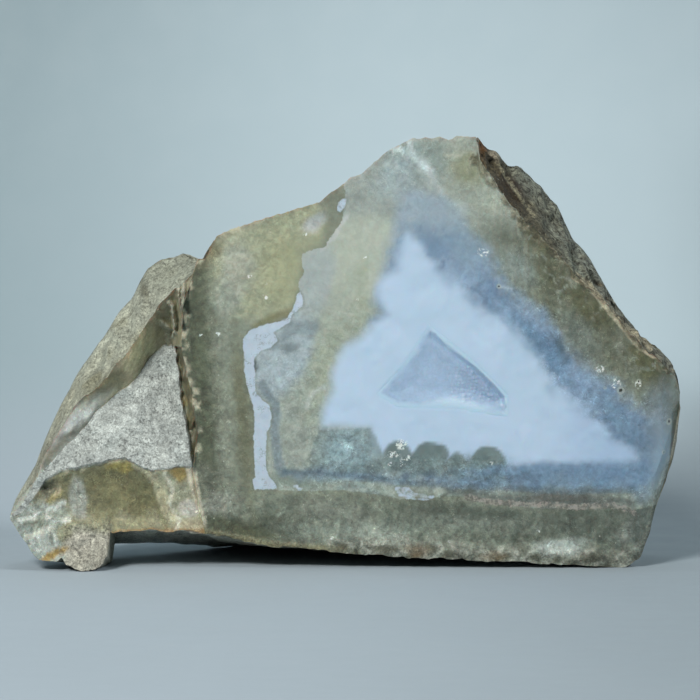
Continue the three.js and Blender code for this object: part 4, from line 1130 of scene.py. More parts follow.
def paint_rind(x, y, z):
    """Brown rind down the right side, with crevices and a hollow painted dark as shade, orange lumps and a
    pale rim along the face.
    """
    cloud = grit(x, y, z, 2.4, 3, 61)
    p = Paint(x, y, z, (108, 109, 92))
    p.lay((148, 156, 142), smooth(1.8, 3.4, z - along(RIND_EDGE, x)) * smooth(27, 31, x) * 0.9)
    p.lay((80, 72, 50), 0.6 * smooth(0.1, 0.5, cloud))
    p.lay((138, 142, 126), 0.6 * smooth(0.0, -0.4, cloud))
    p.lay((132, 136, 124), 0.6 * smooth(36, 44, x))
    p.lay((128, 84, 42), 0.75 * smooth(24.5, 22.8, x))
    p.lay((112, 94, 60), 0.5 * smooth(0.25, 0.5, grit(x, y, z, 1.6, 2, 66)) * smooth(64, 60, z))
    p.lay((82, 74, 50), 0.75 * smooth(56, 60, z + cloud) * smooth(5.2, 3.2, z - along(RIND_EDGE, x) + cloud))
    p.patches(RIND_PATCHES)
    p.strokes(RIND_STROKES)
    return p.tint


def paint_back(x, y, z):
    """Broken back and underside: grainy grey matrix with brown stains and windows of olive chalcedony, and a
    pale patch of painted light under the arch.
    """
    cloud = grit(x, y, z, 9, 4, 62)
    stain = grit(x, y, z, 6, 4, 63)
    p = Paint(x, y, z, (150, 153, 140))
    p.lay((112, 108, 84), 0.8 * smooth(0.05, 0.45, stain))
    p.lay((116, 122, 104), smooth(0.12, 0.3, cloud))
    p.lay((128, 96, 62), 0.6 * smooth(0.42, 0.7, grit(x, y, z, 4, 4, 64)))
    # painted light: a pale patch on the underside behind the arch, which lies in deep shade
    p.lay((205, 208, 196), smooth(-40, -38, x) * smooth(-21, -26, x) * smooth(9, 6, z))
    return p.tint, 1 - 0.5 * smooth(0.12, 0.3, cloud)


# ------------------------------------------------------------------ meshes

def put_mesh(name, points, quads, tris=()):
    """A mesh object from whole arrays of points in metres and of corner numbers."""
    mesh = bpy.data.meshes.new(name)
    corners = np.concatenate([np.asarray(faces, np.int32).ravel() for faces in (quads, tris)])
    sizes = np.repeat(np.array([4, 3], np.int32), [len(quads), len(tris)])
    starts = np.cumsum(sizes) - sizes
    mesh.vertices.add(len(points))
    mesh.vertices.foreach_set("co", np.asarray(points, np.float32).ravel())
    mesh.loops.add(len(corners))
    mesh.loops.foreach_set("vertex_index", corners)
    mesh.polygons.add(len(sizes))
    mesh.polygons.foreach_set("loop_start", starts.astype(np.int32))
    mesh.update(calc_edges=True)
    mesh.validate()
    mesh.shade_smooth()
    piece = bpy.data.objects.new(name, mesh)
    bpy.context.scene.collection.objects.link(piece)
    return piece


def put_values(piece, name, values):
    """A number, or a colour, stored at each point."""
    colour = values.ndim == 2
    layer = piece.data.attributes.new(name, "FLOAT_COLOR" if colour else "FLOAT", "POINT")
    if colour:
        values = np.concatenate([values, np.ones((len(values), 1))], axis=1)
    layer.data.foreach_set("color" if colour else "value", values.astype(np.float32).ravel())


def put_sheet(piece, places):
    """Lays each face corner on a flat unit sheet, so that every spot has a place of its own there."""
    layer = piece.data.uv_layers.new(name="OFBake")
    layer.data.foreach_set("uv", np.clip(places, 0, 1).astype(np.float32).ravel())


def cell_corners(wide, high):
    """The two grid numbers of the four corners of every cell, in order round the cell."""
    i, j = np.meshgrid(np.arange(wide), np.arange(high), indexing="ij")
    return np.stack([i, i + 1, i + 1, i], axis=-1), np.stack([j, j, j + 1, j + 1], axis=-1)


def ring_sheet(rings, around):
    """The sheet of a closed tube: rings lie across it, the points of a ring upward, and each end's fan of
    triangles fills one step of its side."""
    i, j = cell_corners(rings - 1, around)
    cells = np.stack([(i + 1) / (rings + 1), j / around], axis=-1)
    k = np.arange(around)
    one = np.ones(around)
    near, far = one / (rings + 1), one * rings / (rings + 1)
    left = np.stack([0 * one, (k + 0.5) / around, near, k / around, near, (k + 1) / around], axis=-1)
    right = np.stack([one, (k + 0.5) / around, far, (k + 1) / around, far, k / around], axis=-1)
    return np.concatenate([cells.ravel(), left.ravel(), right.ravel()])


def ring_quads(rings, around):
    """Corner numbers of the quads between neighbouring closed rings."""
    i, j = cell_corners(rings - 1, around)
    return (i * around + j % around).reshape(-1, 4)


def end_fans(rings, around):
    """Corner numbers of the triangles that join the first and the last ring to their middle points, which
    are the last two points of all."""
    first_middle, last_middle = rings * around, rings * around + 1
    j = np.arange(around)
    k = (j + 1) % around
    last = (rings - 1) * around
    return np.concatenate([
        np.stack([np.full(around, first_middle), j, k], axis=1),
        np.stack([np.full(around, last_middle), last + k, last + j], axis=1),
    ])


def closed_ends(grid, share):
    """Adds rings that shrink each end of a tube of rings towards its middle, leaving it slightly domed."""
    first, last = grid[:1], grid[-1:]
    first_middle, last_middle = first.mean(axis=1, keepdims=True), last.mean(axis=1, keepdims=True)
    t = share[:, None, None]
    return np.concatenate([(first + (first_middle - first) * t)[::-1], grid, last + (last_middle - last) * t])


def rind_spill(x, y, z, segment):
    """How far the rind's colour runs on onto the back: a few millimetres past the back's first row, with a
    border that wanders with value noise."""
    first = np.argmax(segment[0] == BACK)
    gap = np.hypot(y - y[:, first:first + 1], z - z[:, first:first + 1])
    past_peak = smooth(PEAK_X, PEAK_X + 2, x)
    return (segment == BACK) * past_peak * smooth(5, 0.5, gap + 4 * grit(x, y, z, 3, 3, 77))


def rim_crumbs(x, y, z, face):
    """Where crumbs cling to the face along the rind's edge, and where they are the pale ones."""
    rim = face * (x > 20) * (z > 30)
    reach = beside(x, z, RIND_EDGE) + 2.2 * grit(x, y, z, 1.3, 3, 75) + 0.9 * smooth(50, 44, z)
    crumbs = rim * smooth(1.7, 0.5, reach)
    return crumbs, crumbs * smooth(0.0, 0.3, grit(x, y, z, 0.8, 2, 76))


def rough_hem(x, y, z, face):
    """How grainy the face is along its lower edge: a broad crust on the right, a thin line elsewhere."""
    low = z - along(LOWER_EDGE, x)
    broad = face * smooth(3.4, 1.0, low + 0.8 * grit(x, y, z, 1.6, 2, 70)) * smooth(-12, 2, x)
    return np.maximum(broad, face * smooth(0.9, 0.2, low)) * smooth(56, 53, np.abs(x))


def white_veins(x, z):
    """Signed distance to the white band and the flecks; the faint flecks never count as deep inside."""
    bright = np.maximum(inside(x, z, WHITE_BAND), inside(x, z, PALE_FLECK))
    faint = np.max([inside(x, z, outline) for outline in FAINT_FLECKS], axis=0)
    return np.maximum(bright, np.minimum(faint, FAINT_DEPTH))


def sparkle(x, z, face, calm):
    """How strongly the chalcedony's clouds and grains show: strong in the crystal row, weak in the cloudy
    places, none in the core."""
    share = np.where(face, 0.6 + 0.4 * smooth(0, -6, inside(x, z, INNER)), 0.7)
    for weight, spot in ((0.35, CLOUDY_BY_CORE), (0.3, CLOUDY_YELLOW), (0.3, CLOUDY_APEX)):
        share = share - weight * dimple(x, z, *spot) ** 0.5
    share = np.where(face & (z < 24) & (z > 14) & (x > -7) & (x < 28), 0.9, share)
    return np.clip(share - 0.5 * smooth(50, 53, x), 0.2, 1) * (1 - calm)


def crispness(x, z, segment, to_crack, wing, matrix, calm):
    """How strongly sharp crystal edges and hair lines show: most near the crack, low down and by the rind,
    and on the wing's scallop; least in the mist and the cloudy places."""
    share = 0.45 + 0.6 * smooth(7, 3, to_crack) + 0.5 * smooth(15, 12, z)
    share = share + 0.55 * smooth(24, 34, x) * (z > 24)
    share = share - 0.35 * smooth(-1, 1, inside(x, z, MIST)) - 0.4 * smooth(50, 53, x)
    for weight, spot in ((0.5, CLOUDY_BY_CORE), (0.3, CLOUDY_YELLOW)):
        share = share - weight * dimple(x, z, *spot) ** 0.5
    share = np.where((z < 23.5) & (x > -6) & (x < 28), 0.9, share)
    on_wing = 0.6 + 0.3 * matrix + 0.5 * (segment == SCALLOP)
    return np.where(wing, on_wing, np.clip(share, 0.05, 1)) * (1 - calm)


def paint_stone(x, y, z, segment):
    """Everything the stone's material reads: two colours and the edge between them, then masks."""
    to_crack = x - along(CRACK_PATH, z)
    back = segment == BACK
    wing = ~back & (to_crack < 0)
    rind = (segment == STRIP) & (x > PEAK_X)
    top = (segment == STRIP) & (x > CRACK_X) & (x < PEAK_X)
    face = ((segment < STRIP) | top) & ~wing
    spill = rind_spill(x, y, z, segment)
    inner = paint_inner(x, y, z)
    wing_tint, wing_grain = paint_wing(x, y, z, segment)
    rind_tint = paint_rind(x, y, z)
    back_tint, back_grain = paint_back(x, y, z)
    back_tint = back_tint + (rind_tint - back_tint) * (0.85 * spill[..., None])
    outer = paint_outer(x, y, z, to_crack)
    for where, tint in ((wing, wing_tint), (rind, rind_tint), (back, back_tint)):
        outer = np.where(where[..., None], tint, outer)
    crumbs, pale = rim_crumbs(x, y, z, face)
    for tint in (outer, inner):
        tint += (pigment(88, 86, 66) - tint) * (0.85 * crumbs[..., None])
        tint += (pigment(164, 164, 142) - tint) * (0.6 * pale[..., None])
    face_grain = np.maximum(0.8 * rough_hem(x, y, z, face), 0.7 * crumbs)
    matrix = np.where(wing, wing_grain, face_grain) + np.where(back, back_grain, 0)
    calm = smooth(-1.5, 1.0, inside(x, z, CORE)) * face
    pins = np.min([np.hypot(x - cx, z - cz) / r for cx, cz, r in PINHOLES], axis=0)
    return {
        "outer_tint": outer,
        "inner_tint": inner,
        "border": np.where(face, inside(x, z, INNER), FAR_OUTSIDE),
        "vein": np.where(face, white_veins(x, z), FAR_OUTSIDE),
        "seam": np.where(face, SEAM_HALF - beside(x, z, PINK_SEAM), FAR_OUTSIDE),
        "glitter": np.max([dimple(x, z, *spot) for spot in GLITTER], axis=0) * face,
        "pins": np.where(face, np.minimum(pins, FAR_AWAY), FAR_AWAY),
        "matrix": matrix,
        "rind": rind + spill,
        "grain": sparkle(x, z, face, calm),
        "crisp": crispness(x, z, segment, to_crack, wing, matrix, calm),
    }


def over_ends(field):
    """A value at each point of the rings, repeated over the rings that close the ends and at the two
    middle points."""
    field = np.concatenate([np.repeat(field[:1], END_RINGS, 0), field, np.repeat(field[-1:], END_RINGS, 0)])
    flat = field.reshape(-1, *field.shape[2:])
    return np.concatenate([flat, flat[:1], flat[-1:]])


def make_stone():
    """The stone's skin with the hollow sunk into its face: one closed tube of rings with domed ends."""
    x, y, z, segment = stone_skin()
    near_hollow = (segment < STRIP)[None, :] & (x > 2) & (x < 30)
    x, y, z = (np.where(near_hollow, sunk, c) for sunk, c in zip(carve_hollow(x, y, z), (x, y, z)))
    grid = closed_ends(np.stack([x, y, z], axis=-1), np.linspace(0, 1, END_RINGS + 2)[1:-1])
    rings, around = grid.shape[:2]
    points = np.concatenate([grid.reshape(-1, 3), [grid[0].mean(axis=0), grid[-1].mean(axis=0)]])
    tube = ring_quads(rings, around)
    stone = put_mesh("chalcedony_skin", to_frame(*points.T), tube, end_fans(rings, around))
    stone.data.set_sharp_from_angle(angle=math.radians(SHARP_ANGLE))
    put_sheet(stone, ring_sheet(rings, around))
    for name, field in paint_stone(x, y, z, np.broadcast_to(segment, x.shape)).items():
        put_values(stone, name, over_ends(np.asarray(field, float)))
    return stone


def crystal_heads(x, z, pitch, seed):
    """Tiny pyramids: in each square cell a peak at a random spot, falling evenly away from the nearest."""
    best = np.full(x.shape, 9.0)
    height = np.zeros(x.shape)
    ci, cj = np.floor(x / pitch).astype(int), np.floor(z / pitch).astype(int)
    for di in (-1, 0, 1):
        for dj in (-1, 0, 1):
            i, j = ci + di, cj + dj
            key = (i * HASH_PRIMES[0] ^ j * HASH_PRIMES[1] ^ seed * HASH_PRIMES[2]) & 0x7FFFFFFF
            rx, rz, rh = ((key >> s & 1023) / 1023 for s in (0, 9, 18))
            px, pz = (i + rx) * pitch, (j + rz) * pitch
            turn = FULL_TURN * rh
            u = (x - px) * np.cos(turn) + (z - pz) * np.sin(turn)
            v = (z - pz) * np.cos(turn) - (x - px) * np.sin(turn)
            d = np.maximum(np.abs(u), 0.5 * np.abs(u) + 0.87 * np.abs(v)) / pitch
            closer = d < best
            best = np.where(closer, d, best)
            height = np.where(closer, (0.3 + 0.7 * rh) * np.clip(1 - 1.1 * d, 0, 1), height)
    return height


def crust_grid():
    """Columns across the hollow's outline, tucked a little under the face, each divided evenly from its
    lower line to its upper line."""
    rim = np.array(HOLLOW_RIM)
    outward = rim - HOLLOW_MIDDLE
    outline = rim + CRUST_TUCK * outward / np.linalg.norm(outward, axis=1, keepdims=True)
    low, high = outline[[0, 1, 2, 3]], outline[[0, 7, 6, 5, 4]]
    x = np.linspace(outline[0, 0] + 0.02, outline[3, 0] - 0.02, CRUST_COLUMNS)[:, None]
    z_low = along(low, x)
    z_high = np.maximum(z_low + 0.05, along(high, x))
    z = z_low + (z_high - z_low) * np.linspace(0, 1, CRUST_ROWS)[None, :]
    return np.broadcast_to(x, z.shape), z


def crust_depth(x, z, coarse):
    """The crust's top sinks in an S-curve of the distance from the rim to a shallow bowl, steeply under the
    upper right side, with crystals on it; its back lies a little behind the carving in the stone."""
    to_rim = inside(x, z, HOLLOW_RIM)
    steep = smooth(2.2, 0.4, beside(x, z, HOLLOW_RIM[4:7]))
    level = 0.3 + 0.55 * smooth(8, 25, x)
    bowl = level * (steep * smooth(0, 1.1, to_rim) + (1 - steep) * smooth(0, 3.2, to_rim))
    heads = 0.03 * crystal_heads(x, z, 0.5, 1) + 0.17 * coarse * crystal_heads(x, z, 0.6, 2)
    top = CRUST_LEVEL + bowl - smooth(0, 0.9, to_rim) * (heads + 0.06 * grit(x, z, z, 2.5, 3, 71))
    carved = carve_hollow(x, np.zeros(x.shape), z)[1]
    return top, np.maximum(carved, top) + CRUST_THICKNESS


def crust_border():
    """Numbers of the points round the crust's border, in order."""
    columns, rows = CRUST_COLUMNS, CRUST_ROWS
    return np.concatenate([
        np.arange(columns) * rows, (columns - 1) * rows + np.arange(1, rows),
        np.arange(columns - 2, -1, -1) * rows + rows - 1, np.arange(rows - 2, 0, -1),
    ])


def crust_sheet(i, j, border):
    """The crust's sheet: its top fills the lower part, its back the middle and its border a strip above."""
    across, up = i / (CRUST_COLUMNS - 1), j / (CRUST_ROWS - 1)
    tops = np.stack([across, 0.6 * up], axis=-1)
    backs = np.stack([across, 0.62 + 0.33 * up], axis=-1)[:, :, ::-1]
    step = np.arange(border) / border
    ahead = step + 1 / border
    low, high = np.full(border, 0.97), np.ones(border)
    hem = np.stack([step, low, step, high, ahead, high, ahead, low], axis=-1)
    return np.concatenate([tops.ravel(), backs.ravel(), hem.ravel()])


def make_druse():
    """The hollow's crust, one closed shell: its top, its back and a wall round the border. Its masks say
    where the crystals are coarse and where the crust is as pale as the core."""
    x, z = crust_grid()
    coarse = smooth(15, 22, x + 0.8 * grit(x, z, z, 2, 2, 72)) * smooth(27.4, 28.8, z) * smooth(36, 33, z)
    top, back = crust_depth(x, z, coarse)
    points = np.concatenate([np.stack([x, depth, z], axis=-1).reshape(-1, 3) for depth in (top, back)])
    i, j = cell_corners(CRUST_COLUMNS - 1, CRUST_ROWS - 1)
    quads = (i * CRUST_ROWS + j).reshape(-1, 4)
    edge = crust_border()
    following = np.roll(edge, -1)
    wall = np.stack([edge, edge + x.size, following + x.size, following], axis=-1)
    faces = np.concatenate([quads, quads[:, ::-1] + x.size, wall])
    druse = put_mesh("druse_crust", to_frame(*points.T), faces)
    put_sheet(druse, crust_sheet(i, j, len(edge)))
    crisp = smooth(1.5, 0.3, beside(x, z, HOLLOW_LINING[6:13]))
    soft = 0.75 - 0.6 * crisp - 0.35 * smooth(4, 1.5, beside(x, z, HOLLOW_LINING[0:2]))
    lip = np.clip(inside(x, z, HOLLOW_LINING) / soft, -4, 4)
    for name, field in (("coarse", coarse), ("lip", lip)):
        put_values(druse, name, np.tile(field.ravel(), 2))
    return druse


# ------------------------------------------------------------------ materials

PER_METRE = 1000.0  # a size in millimetres divides it into the texture's scale
QUARTZ_IOR = 1.5
# how far light soaks in, metres
STONE_SOAK, CRUST_SOAK = 0.0018, 0.002


class Nodes:
    """Short words for building a material's nodes. Sizes are millimetres."""

    def __init__(self, name):
        """Starts an empty material of this name."""
        self.material = bpy.data.materials.new(name)
        self.material.use_nodes = True
        self.tree = self.material.node_tree
        self.tree.nodes.clear()
        self.place = self.add("ShaderNodeTexCoord").outputs["Object"]

    def add(self, kind, **settings):
        """Adds a node of a kind, with its settings."""
        node = self.tree.nodes.new(kind)
        for key, value in settings.items():
            setattr(node, key, value)
        return node

    def feed(self, socket, value):
        """Links another node's output to a socket, or sets the socket's own value."""
        if isinstance(value, bpy.types.NodeSocket):
            self.tree.links.new(value, socket)
        else:
            socket.default_value = value

    def stored(self, name, colour=False):
        """A mask or a colour that is stored on the mesh."""
        return self.add("ShaderNodeAttribute", attribute_name=name).outputs["Color" if colour else "Fac"]

    def math(self, operation, a, b=0.0, clamp=False):
        """One step of arithmetic; clamp keeps the result between 0 and 1."""
        node = self.add("ShaderNodeMath", operation=operation, use_clamp=clamp)
        self.feed(node.inputs[0], a)
        self.feed(node.inputs[1], b)
        return node.outputs[0]

    def times(self, *values):
        """All the values multiplied."""
        result = values[0]
        for value in values[1:]:
            result = self.math("MULTIPLY", result, value)
        return result

    def plus(self, *values):
        """All the values added up."""
        result = values[0]
        for value in values[1:]:
            result = self.math("ADD", result, value)
        return result

    def shifted(self, step_mm):
        """The place moved by a step, so that a second noise doesn't follow the first."""
        node = self.add("ShaderNodeVectorMath", operation="ADD")
        self.feed(node.inputs[0], self.place)
        self.feed(node.inputs[1], (step_mm * MM, step_mm * MM * 0.7, step_mm * MM * 1.3))
        return node.outputs[0]

    def noise(self, size_mm, detail=3.0, roughness=0.55, distortion=0.0, place=None):
        """Cloudy noise of a given size, about 0.5 on average."""
        node = self.add("ShaderNodeTexNoise")
        self.feed(node.inputs["Vector"], place or self.place)
        self.feed(node.inputs["Scale"], PER_METRE / size_mm)
        self.feed(node.inputs["Detail"], detail)
        self.feed(node.inputs["Roughness"], roughness)
        self.feed(node.inputs["Distortion"], distortion)
        return node.outputs["Fac"]

    def cells(self, size_mm, place=None):
        """Cells of a given size: their own colours and the distance to their middles."""
        node = self.add("ShaderNodeTexVoronoi", feature="F1")
        self.feed(node.inputs["Vector"], place or self.place)
        self.feed(node.inputs["Scale"], PER_METRE / size_mm)
        return node

    def flecks(self, size_mm, radius, share, place=None):
        """Small spots at the middles of some of the cells: 1 in the spot, 0 outside."""
        node = self.cells(size_mm, place=place)
        pick = self.add("ShaderNodeSeparateColor")
        self.feed(pick.inputs[0], node.outputs["Color"])
        chosen = self.math("GREATER_THAN", pick.outputs["Red"], 1 - share)
        return self.times(chosen, self.span(node.outputs["Distance"], radius, radius * 0.5))

    def tones(self, size_mm, bend):
        """Crystals side by side, each a little lighter or darker, with borders bent by noise."""
        noise = self.add("ShaderNodeTexNoise")
        self.feed(noise.inputs["Vector"], self.place)
        self.feed(noise.inputs["Scale"], 1.4 * PER_METRE / size_mm)
        away = self.add("ShaderNodeVectorMath", operation="SCALE")
        self.feed(away.inputs[0], noise.outputs["Color"])
        self.feed(away.inputs["Scale"], bend * size_mm * MM)
        bent = self.add("ShaderNodeVectorMath", operation="ADD")
        self.feed(bent.inputs[0], self.place)
        self.feed(bent.inputs[1], away.outputs[0])
        pick = self.add("ShaderNodeSeparateColor")
        self.feed(pick.inputs[0], self.cells(size_mm, place=bent.outputs[0]).outputs["Color"])
        return self.span(pick.outputs["Green"], 0.05, 0.95, -0.12, 0.12)

    def hairs(self, size_mm, half, step_mm):
        """Short wandering lines: a bent noise's middle level, kept only inside the patches of another."""
        level = self.noise(size_mm, 2.5, 0.6, 1.2, place=self.shifted(step_mm))
        line = self.span(self.math("ABSOLUTE", self.plus(level, -0.5)), half, half * 0.3)
        return self.times(line, self.span(self.noise(2.2, 2, place=self.shifted(-step_mm)), 0.5, 0.6))

    def span(self, value, low, high, to_low=0.0, to_high=1.0):
        """Takes a value from one range to another in an S-curve, and stops at both ends."""
        node = self.add("ShaderNodeMapRange", interpolation_type="SMOOTHSTEP")
        if low > high:
            low, high, to_low, to_high = high, low, to_high, to_low
        names = ("Value", "From Min", "From Max", "To Min", "To Max")
        for name, number in zip(names, (value, low, high, to_low, to_high)):
            self.feed(node.inputs[name], number)
        return node.outputs["Result"]

    def blend(self, share, a, b, mode="MIX"):
        """Colour a with this share of colour b. Either may be a node's output or three numbers."""
        node = self.add("ShaderNodeMix", data_type="RGBA", blend_type=mode)
        factor = node.inputs["Factor"]
        sides = [s for s in node.inputs if s.type == "RGBA"]
        self.feed(factor, share)
        for socket, value in zip(sides, (a, b)):
            self.feed(socket, (*value, 1.0) if isinstance(value, np.ndarray) else value)
        return [s for s in node.outputs if s.type == "RGBA"][0]

    def grey(self, value):
        """The same value in all three channels."""
        node = self.add("ShaderNodeCombineColor")
        for channel in range(3):
            self.feed(node.inputs[channel], value)
        return node.outputs[0]

    def shade(self, colour, value):
        """A colour made lighter or darker by a factor."""
        return self.blend(1.0, colour, self.grey(value), "MULTIPLY")

    def bump(self, height, strength, distance_mm, under=None):
        """Fine relief from a height, on top of another relief if one is given."""
        node = self.add("ShaderNodeBump")
        self.feed(node.inputs["Strength"], strength)
        self.feed(node.inputs["Distance"], distance_mm * MM)
        self.feed(node.inputs["Height"], height)
        if under is not None:
            self.feed(node.inputs["Normal"], under)
        return node.outputs["Normal"]

    def finish(self, one_sided=False, **sockets):
        """Closes the material. A one-sided surface can't be seen from behind."""
        shader = self.add("ShaderNodeBsdfPrincipled")
        for key, value in sockets.items():
            self.feed(shader.inputs[key.replace("_", " ")], value)
        surface = shader.outputs["BSDF"]
        if one_sided:
            mix = self.add("ShaderNodeMixShader")
            self.feed(mix.inputs[0], self.add("ShaderNodeNewGeometry").outputs["Backfacing"])
            self.tree.links.new(surface, mix.inputs[1])
            self.tree.links.new(self.add("ShaderNodeBsdfTransparent").outputs[0], mix.inputs[2])
            surface = mix.outputs[0]
        out = self.add("ShaderNodeOutputMaterial")
        self.tree.links.new(surface, out.inputs["Surface"])
        return self.material


def zone_colour(n, ragged, grain):
    """The outer zone, the inner zone over it across a finely ragged edge, and clouds and grains in both."""
    edge = n.plus(n.stored("border"), n.times(ragged, 0.9))
    colour = n.blend(n.span(edge, -0.12, 0.12), n.stored("outer_tint", True), n.stored("inner_tint", True))
    cloud = n.span(n.noise(2.4, 4, 0.55, 1.4), 0.34, 0.68, -0.22, 0.2)
    fine = n.span(n.noise(0.8, 3, 0.6, 0.8), 0.36, 0.64, -0.13, 0.13)
    return n.shade(colour, n.plus(1.0, n.times(n.plus(cloud, fine), grain)))


def crystal_edges(n, colour, crisp, clear, dust):
    """Sharp crystal edges: crystals and dust of uneven brightness, short pale hairs and dark hairs."""
    facets = n.plus(n.tones(0.75, 0.5), n.times(n.tones(2.4, 0.5), 0.7))
    colour = n.shade(colour, n.plus(1.0, n.times(n.plus(dust, facets), crisp)))
    pale_hairs = n.times(n.hairs(1.5, 0.018, 21), crisp, clear, 0.75)
    dark_hairs = n.times(n.hairs(2.1, 0.02, 33), crisp, clear, 0.6)
    colour = n.blend(pale_hairs, colour, n.shade(colour, 1.9))
    return n.blend(dark_hairs, colour, n.shade(colour, 0.5))


def pale_spots(n, grain, matrix):
    """Where small pale spots lie: in drifts, and not in the matrix."""
    drift = n.span(n.noise(4.5, 2, 0.5), 0.48, 0.62)
    return n.times(n.flecks(0.95, 0.17, 0.4), drift, grain, n.math("SUBTRACT", 1.0, matrix))


def white_bands(n, colour, ragged):
    """The white band and its flecks, with grey hairs in them and a thin dark border of painted shade."""
    vein = n.plus(n.stored("vein"), n.times(ragged, 0.6))
    white = n.blend(n.noise(1.4, 4, 0.6), pigment(164, 180, 194), pigment(186, 203, 216))
    white = n.blend(n.times(n.hairs(1.2, 0.03, 5), 0.7), white, pigment(130, 144, 148))
    # painted shade: a thin dark border just outside the band
    colour = n.blend(n.times(n.span(vein, -0.5, -0.1), 0.3), colour, pigment(92, 98, 84))
    return n.blend(n.times(n.span(vein, -0.1, 0.12), 0.97), colour, white)


def grainy_seam(n, colour):
    """The grainy pink-grey seam."""
    seam = n.plus(n.stored("seam"), n.times(n.plus(n.noise(0.6, 3, 0.7), -0.5), 1.3))
    grains = n.span(n.noise(0.7, 3, 0.7), 0.38, 0.62)
    tint = n.blend(grains, pigment(96, 97, 90), pigment(160, 156, 148))
    return n.blend(n.times(n.span(seam, 0.0, 0.25), 0.75), colour, tint)


def matrix_grains(n, colour, matrix, dust):
    """The matrix: a pale ground, dark specks in drifts, white crumbs and dark hairs. Its relief comes with
    it."""
    grains = n.noise(0.5, 4, 0.7)
    drift = n.span(n.noise(2.6, 3, 0.6, 0.8), 0.38, 0.64, 0.35, 1.0)
    specks = n.times(n.span(n.noise(0.42, 2, 0.6, 0.5, place=n.shifted(7)), 0.45, 0.37), drift)
    crumbs = n.span(n.noise(0.5, 2, 0.6, place=n.shifted(3)), 0.58, 0.68)
    swirl = n.span(n.noise(3.2, 4, 0.62, 1.5, place=n.shifted(9)), 0.38, 0.62, -0.07, 0.07)
    light = n.plus(
        n.span(grains, 0.32, 0.68, 0.87, 1.1), n.times(specks, -0.3), n.times(crumbs, 0.12), swirl,
        n.times(n.hairs(1.4, 0.03, 17), -0.28), n.times(dust, 0.7),
    )
    return n.blend(matrix, colour, n.shade(colour, light)), n.plus(grains, n.times(specks, -0.4))


def rind_rubble(n, colour, rind):
    """The rind: crumbs, dark pits and pale scales. Its relief comes with it."""
    pores = n.noise(0.9, 5, 0.7)
    rubble = n.span(n.noise(0.4, 2, 0.7), 0.35, 0.65, -0.25, 0.25)
    light = n.plus(n.span(pores, 0.34, 0.66, 0.62, 1.4), rubble)
    colour = n.blend(rind, colour, n.shade(colour, light))
    pits = n.span(n.noise(0.8, 3, 0.6, 0.8, place=n.shifted(23)), 0.46, 0.4)
    colour = n.blend(n.times(rind, pits, 0.75), colour, pigment(44, 40, 28))
    drift = n.span(n.noise(2.5, 2, place=n.shifted(27)), 0.45, 0.6)
    scales = n.times(n.flecks(0.8, 0.34, 0.35), drift)
    colour = n.blend(n.times(rind, scales, 0.6), colour, pigment(172, 166, 142))
    return colour, n.plus(pores, n.times(pits, -0.3), n.times(scales, 0.15))


def glittering_points(n):
    """Where crystals glitter: the spots of painted highlights."""
    glitter = n.times(n.stored("glitter"), 1.5)
    points = n.span(n.noise(0.55, 3, 0.6), 0.5, 0.57)
    return n.times(n.span(glitter, 0.3, 0.9), points, 0.85)


def pinholes(n, colour, ragged):
    """Small dark holes, each in a pale ring."""
    pins = n.plus(n.stored("pins"), n.times(ragged, 1.2))
    ring = n.times(n.span(pins, 0.9, 1.3), n.span(pins, 2.6, 1.9))
    colour = n.blend(n.times(ring, 0.4), colour, pigment(176, 184, 172))
    return n.blend(n.times(n.span(pins, 1.2, 0.8), 0.95), colour, pigment(40, 40, 32))


def stone_material():
    """Chalcedony, matrix and rind in one material, told apart by what is stored on the skin. Light soaks in
    only where there is neither matrix nor rind."""
    n = Nodes("chalcedony_and_matrix")
    matrix, rind, grain, crisp = (n.stored(name) for name in ("matrix", "rind", "grain", "crisp"))
    crusty = n.math("MAXIMUM", matrix, rind)
    clear = n.math("SUBTRACT", 1.0, crusty, True)
    ragged = n.plus(n.noise(0.9, 3, 0.6), -0.5)
    dust = n.span(n.noise(0.3, 2, 0.7, place=n.shifted(11)), 0.36, 0.64, -0.11, 0.11)
    pale = pale_spots(n, grain, matrix)
    glints = glittering_points(n)
    colour = zone_colour(n, ragged, grain)
    colour = crystal_edges(n, colour, crisp, clear, dust)
    colour = n.blend(n.times(pale, 0.45), colour, pigment(208, 214, 200))
    colour = white_bands(n, colour, ragged)
    colour = grainy_seam(n, colour)
    colour, matrix_relief = matrix_grains(n, colour, matrix, dust)
    colour, rind_relief = rind_rubble(n, colour, rind)
    # painted highlights: near-white points where the crystals glitter
    colour = n.blend(glints, colour, pigment(226, 234, 232))
    colour = pinholes(n, colour, ragged)
    rough = n.plus(n.span(n.noise(1.2, 4, 0.6), 0.3, 0.7, 0.42, 0.62), n.times(crusty, 0.32))
    rough = n.math("SUBTRACT", rough, n.times(n.math("MAXIMUM", glints, pale), 0.3), True)
    normal = n.bump(n.noise(0.8, 4, 0.65), n.times(grain, 0.55), 0.16)
    normal = n.bump(n.times(matrix_relief, matrix), 1.0, 0.55, normal)
    normal = n.bump(n.times(rind_relief, rind), 1.0, 1.6, normal)
    return n.finish(
        Base_Color=colour, Roughness=rough, Normal=normal, IOR=QUARTZ_IOR,
        Subsurface_Weight=n.times(clear, 0.35), Subsurface_Scale=STONE_SOAK,
    )


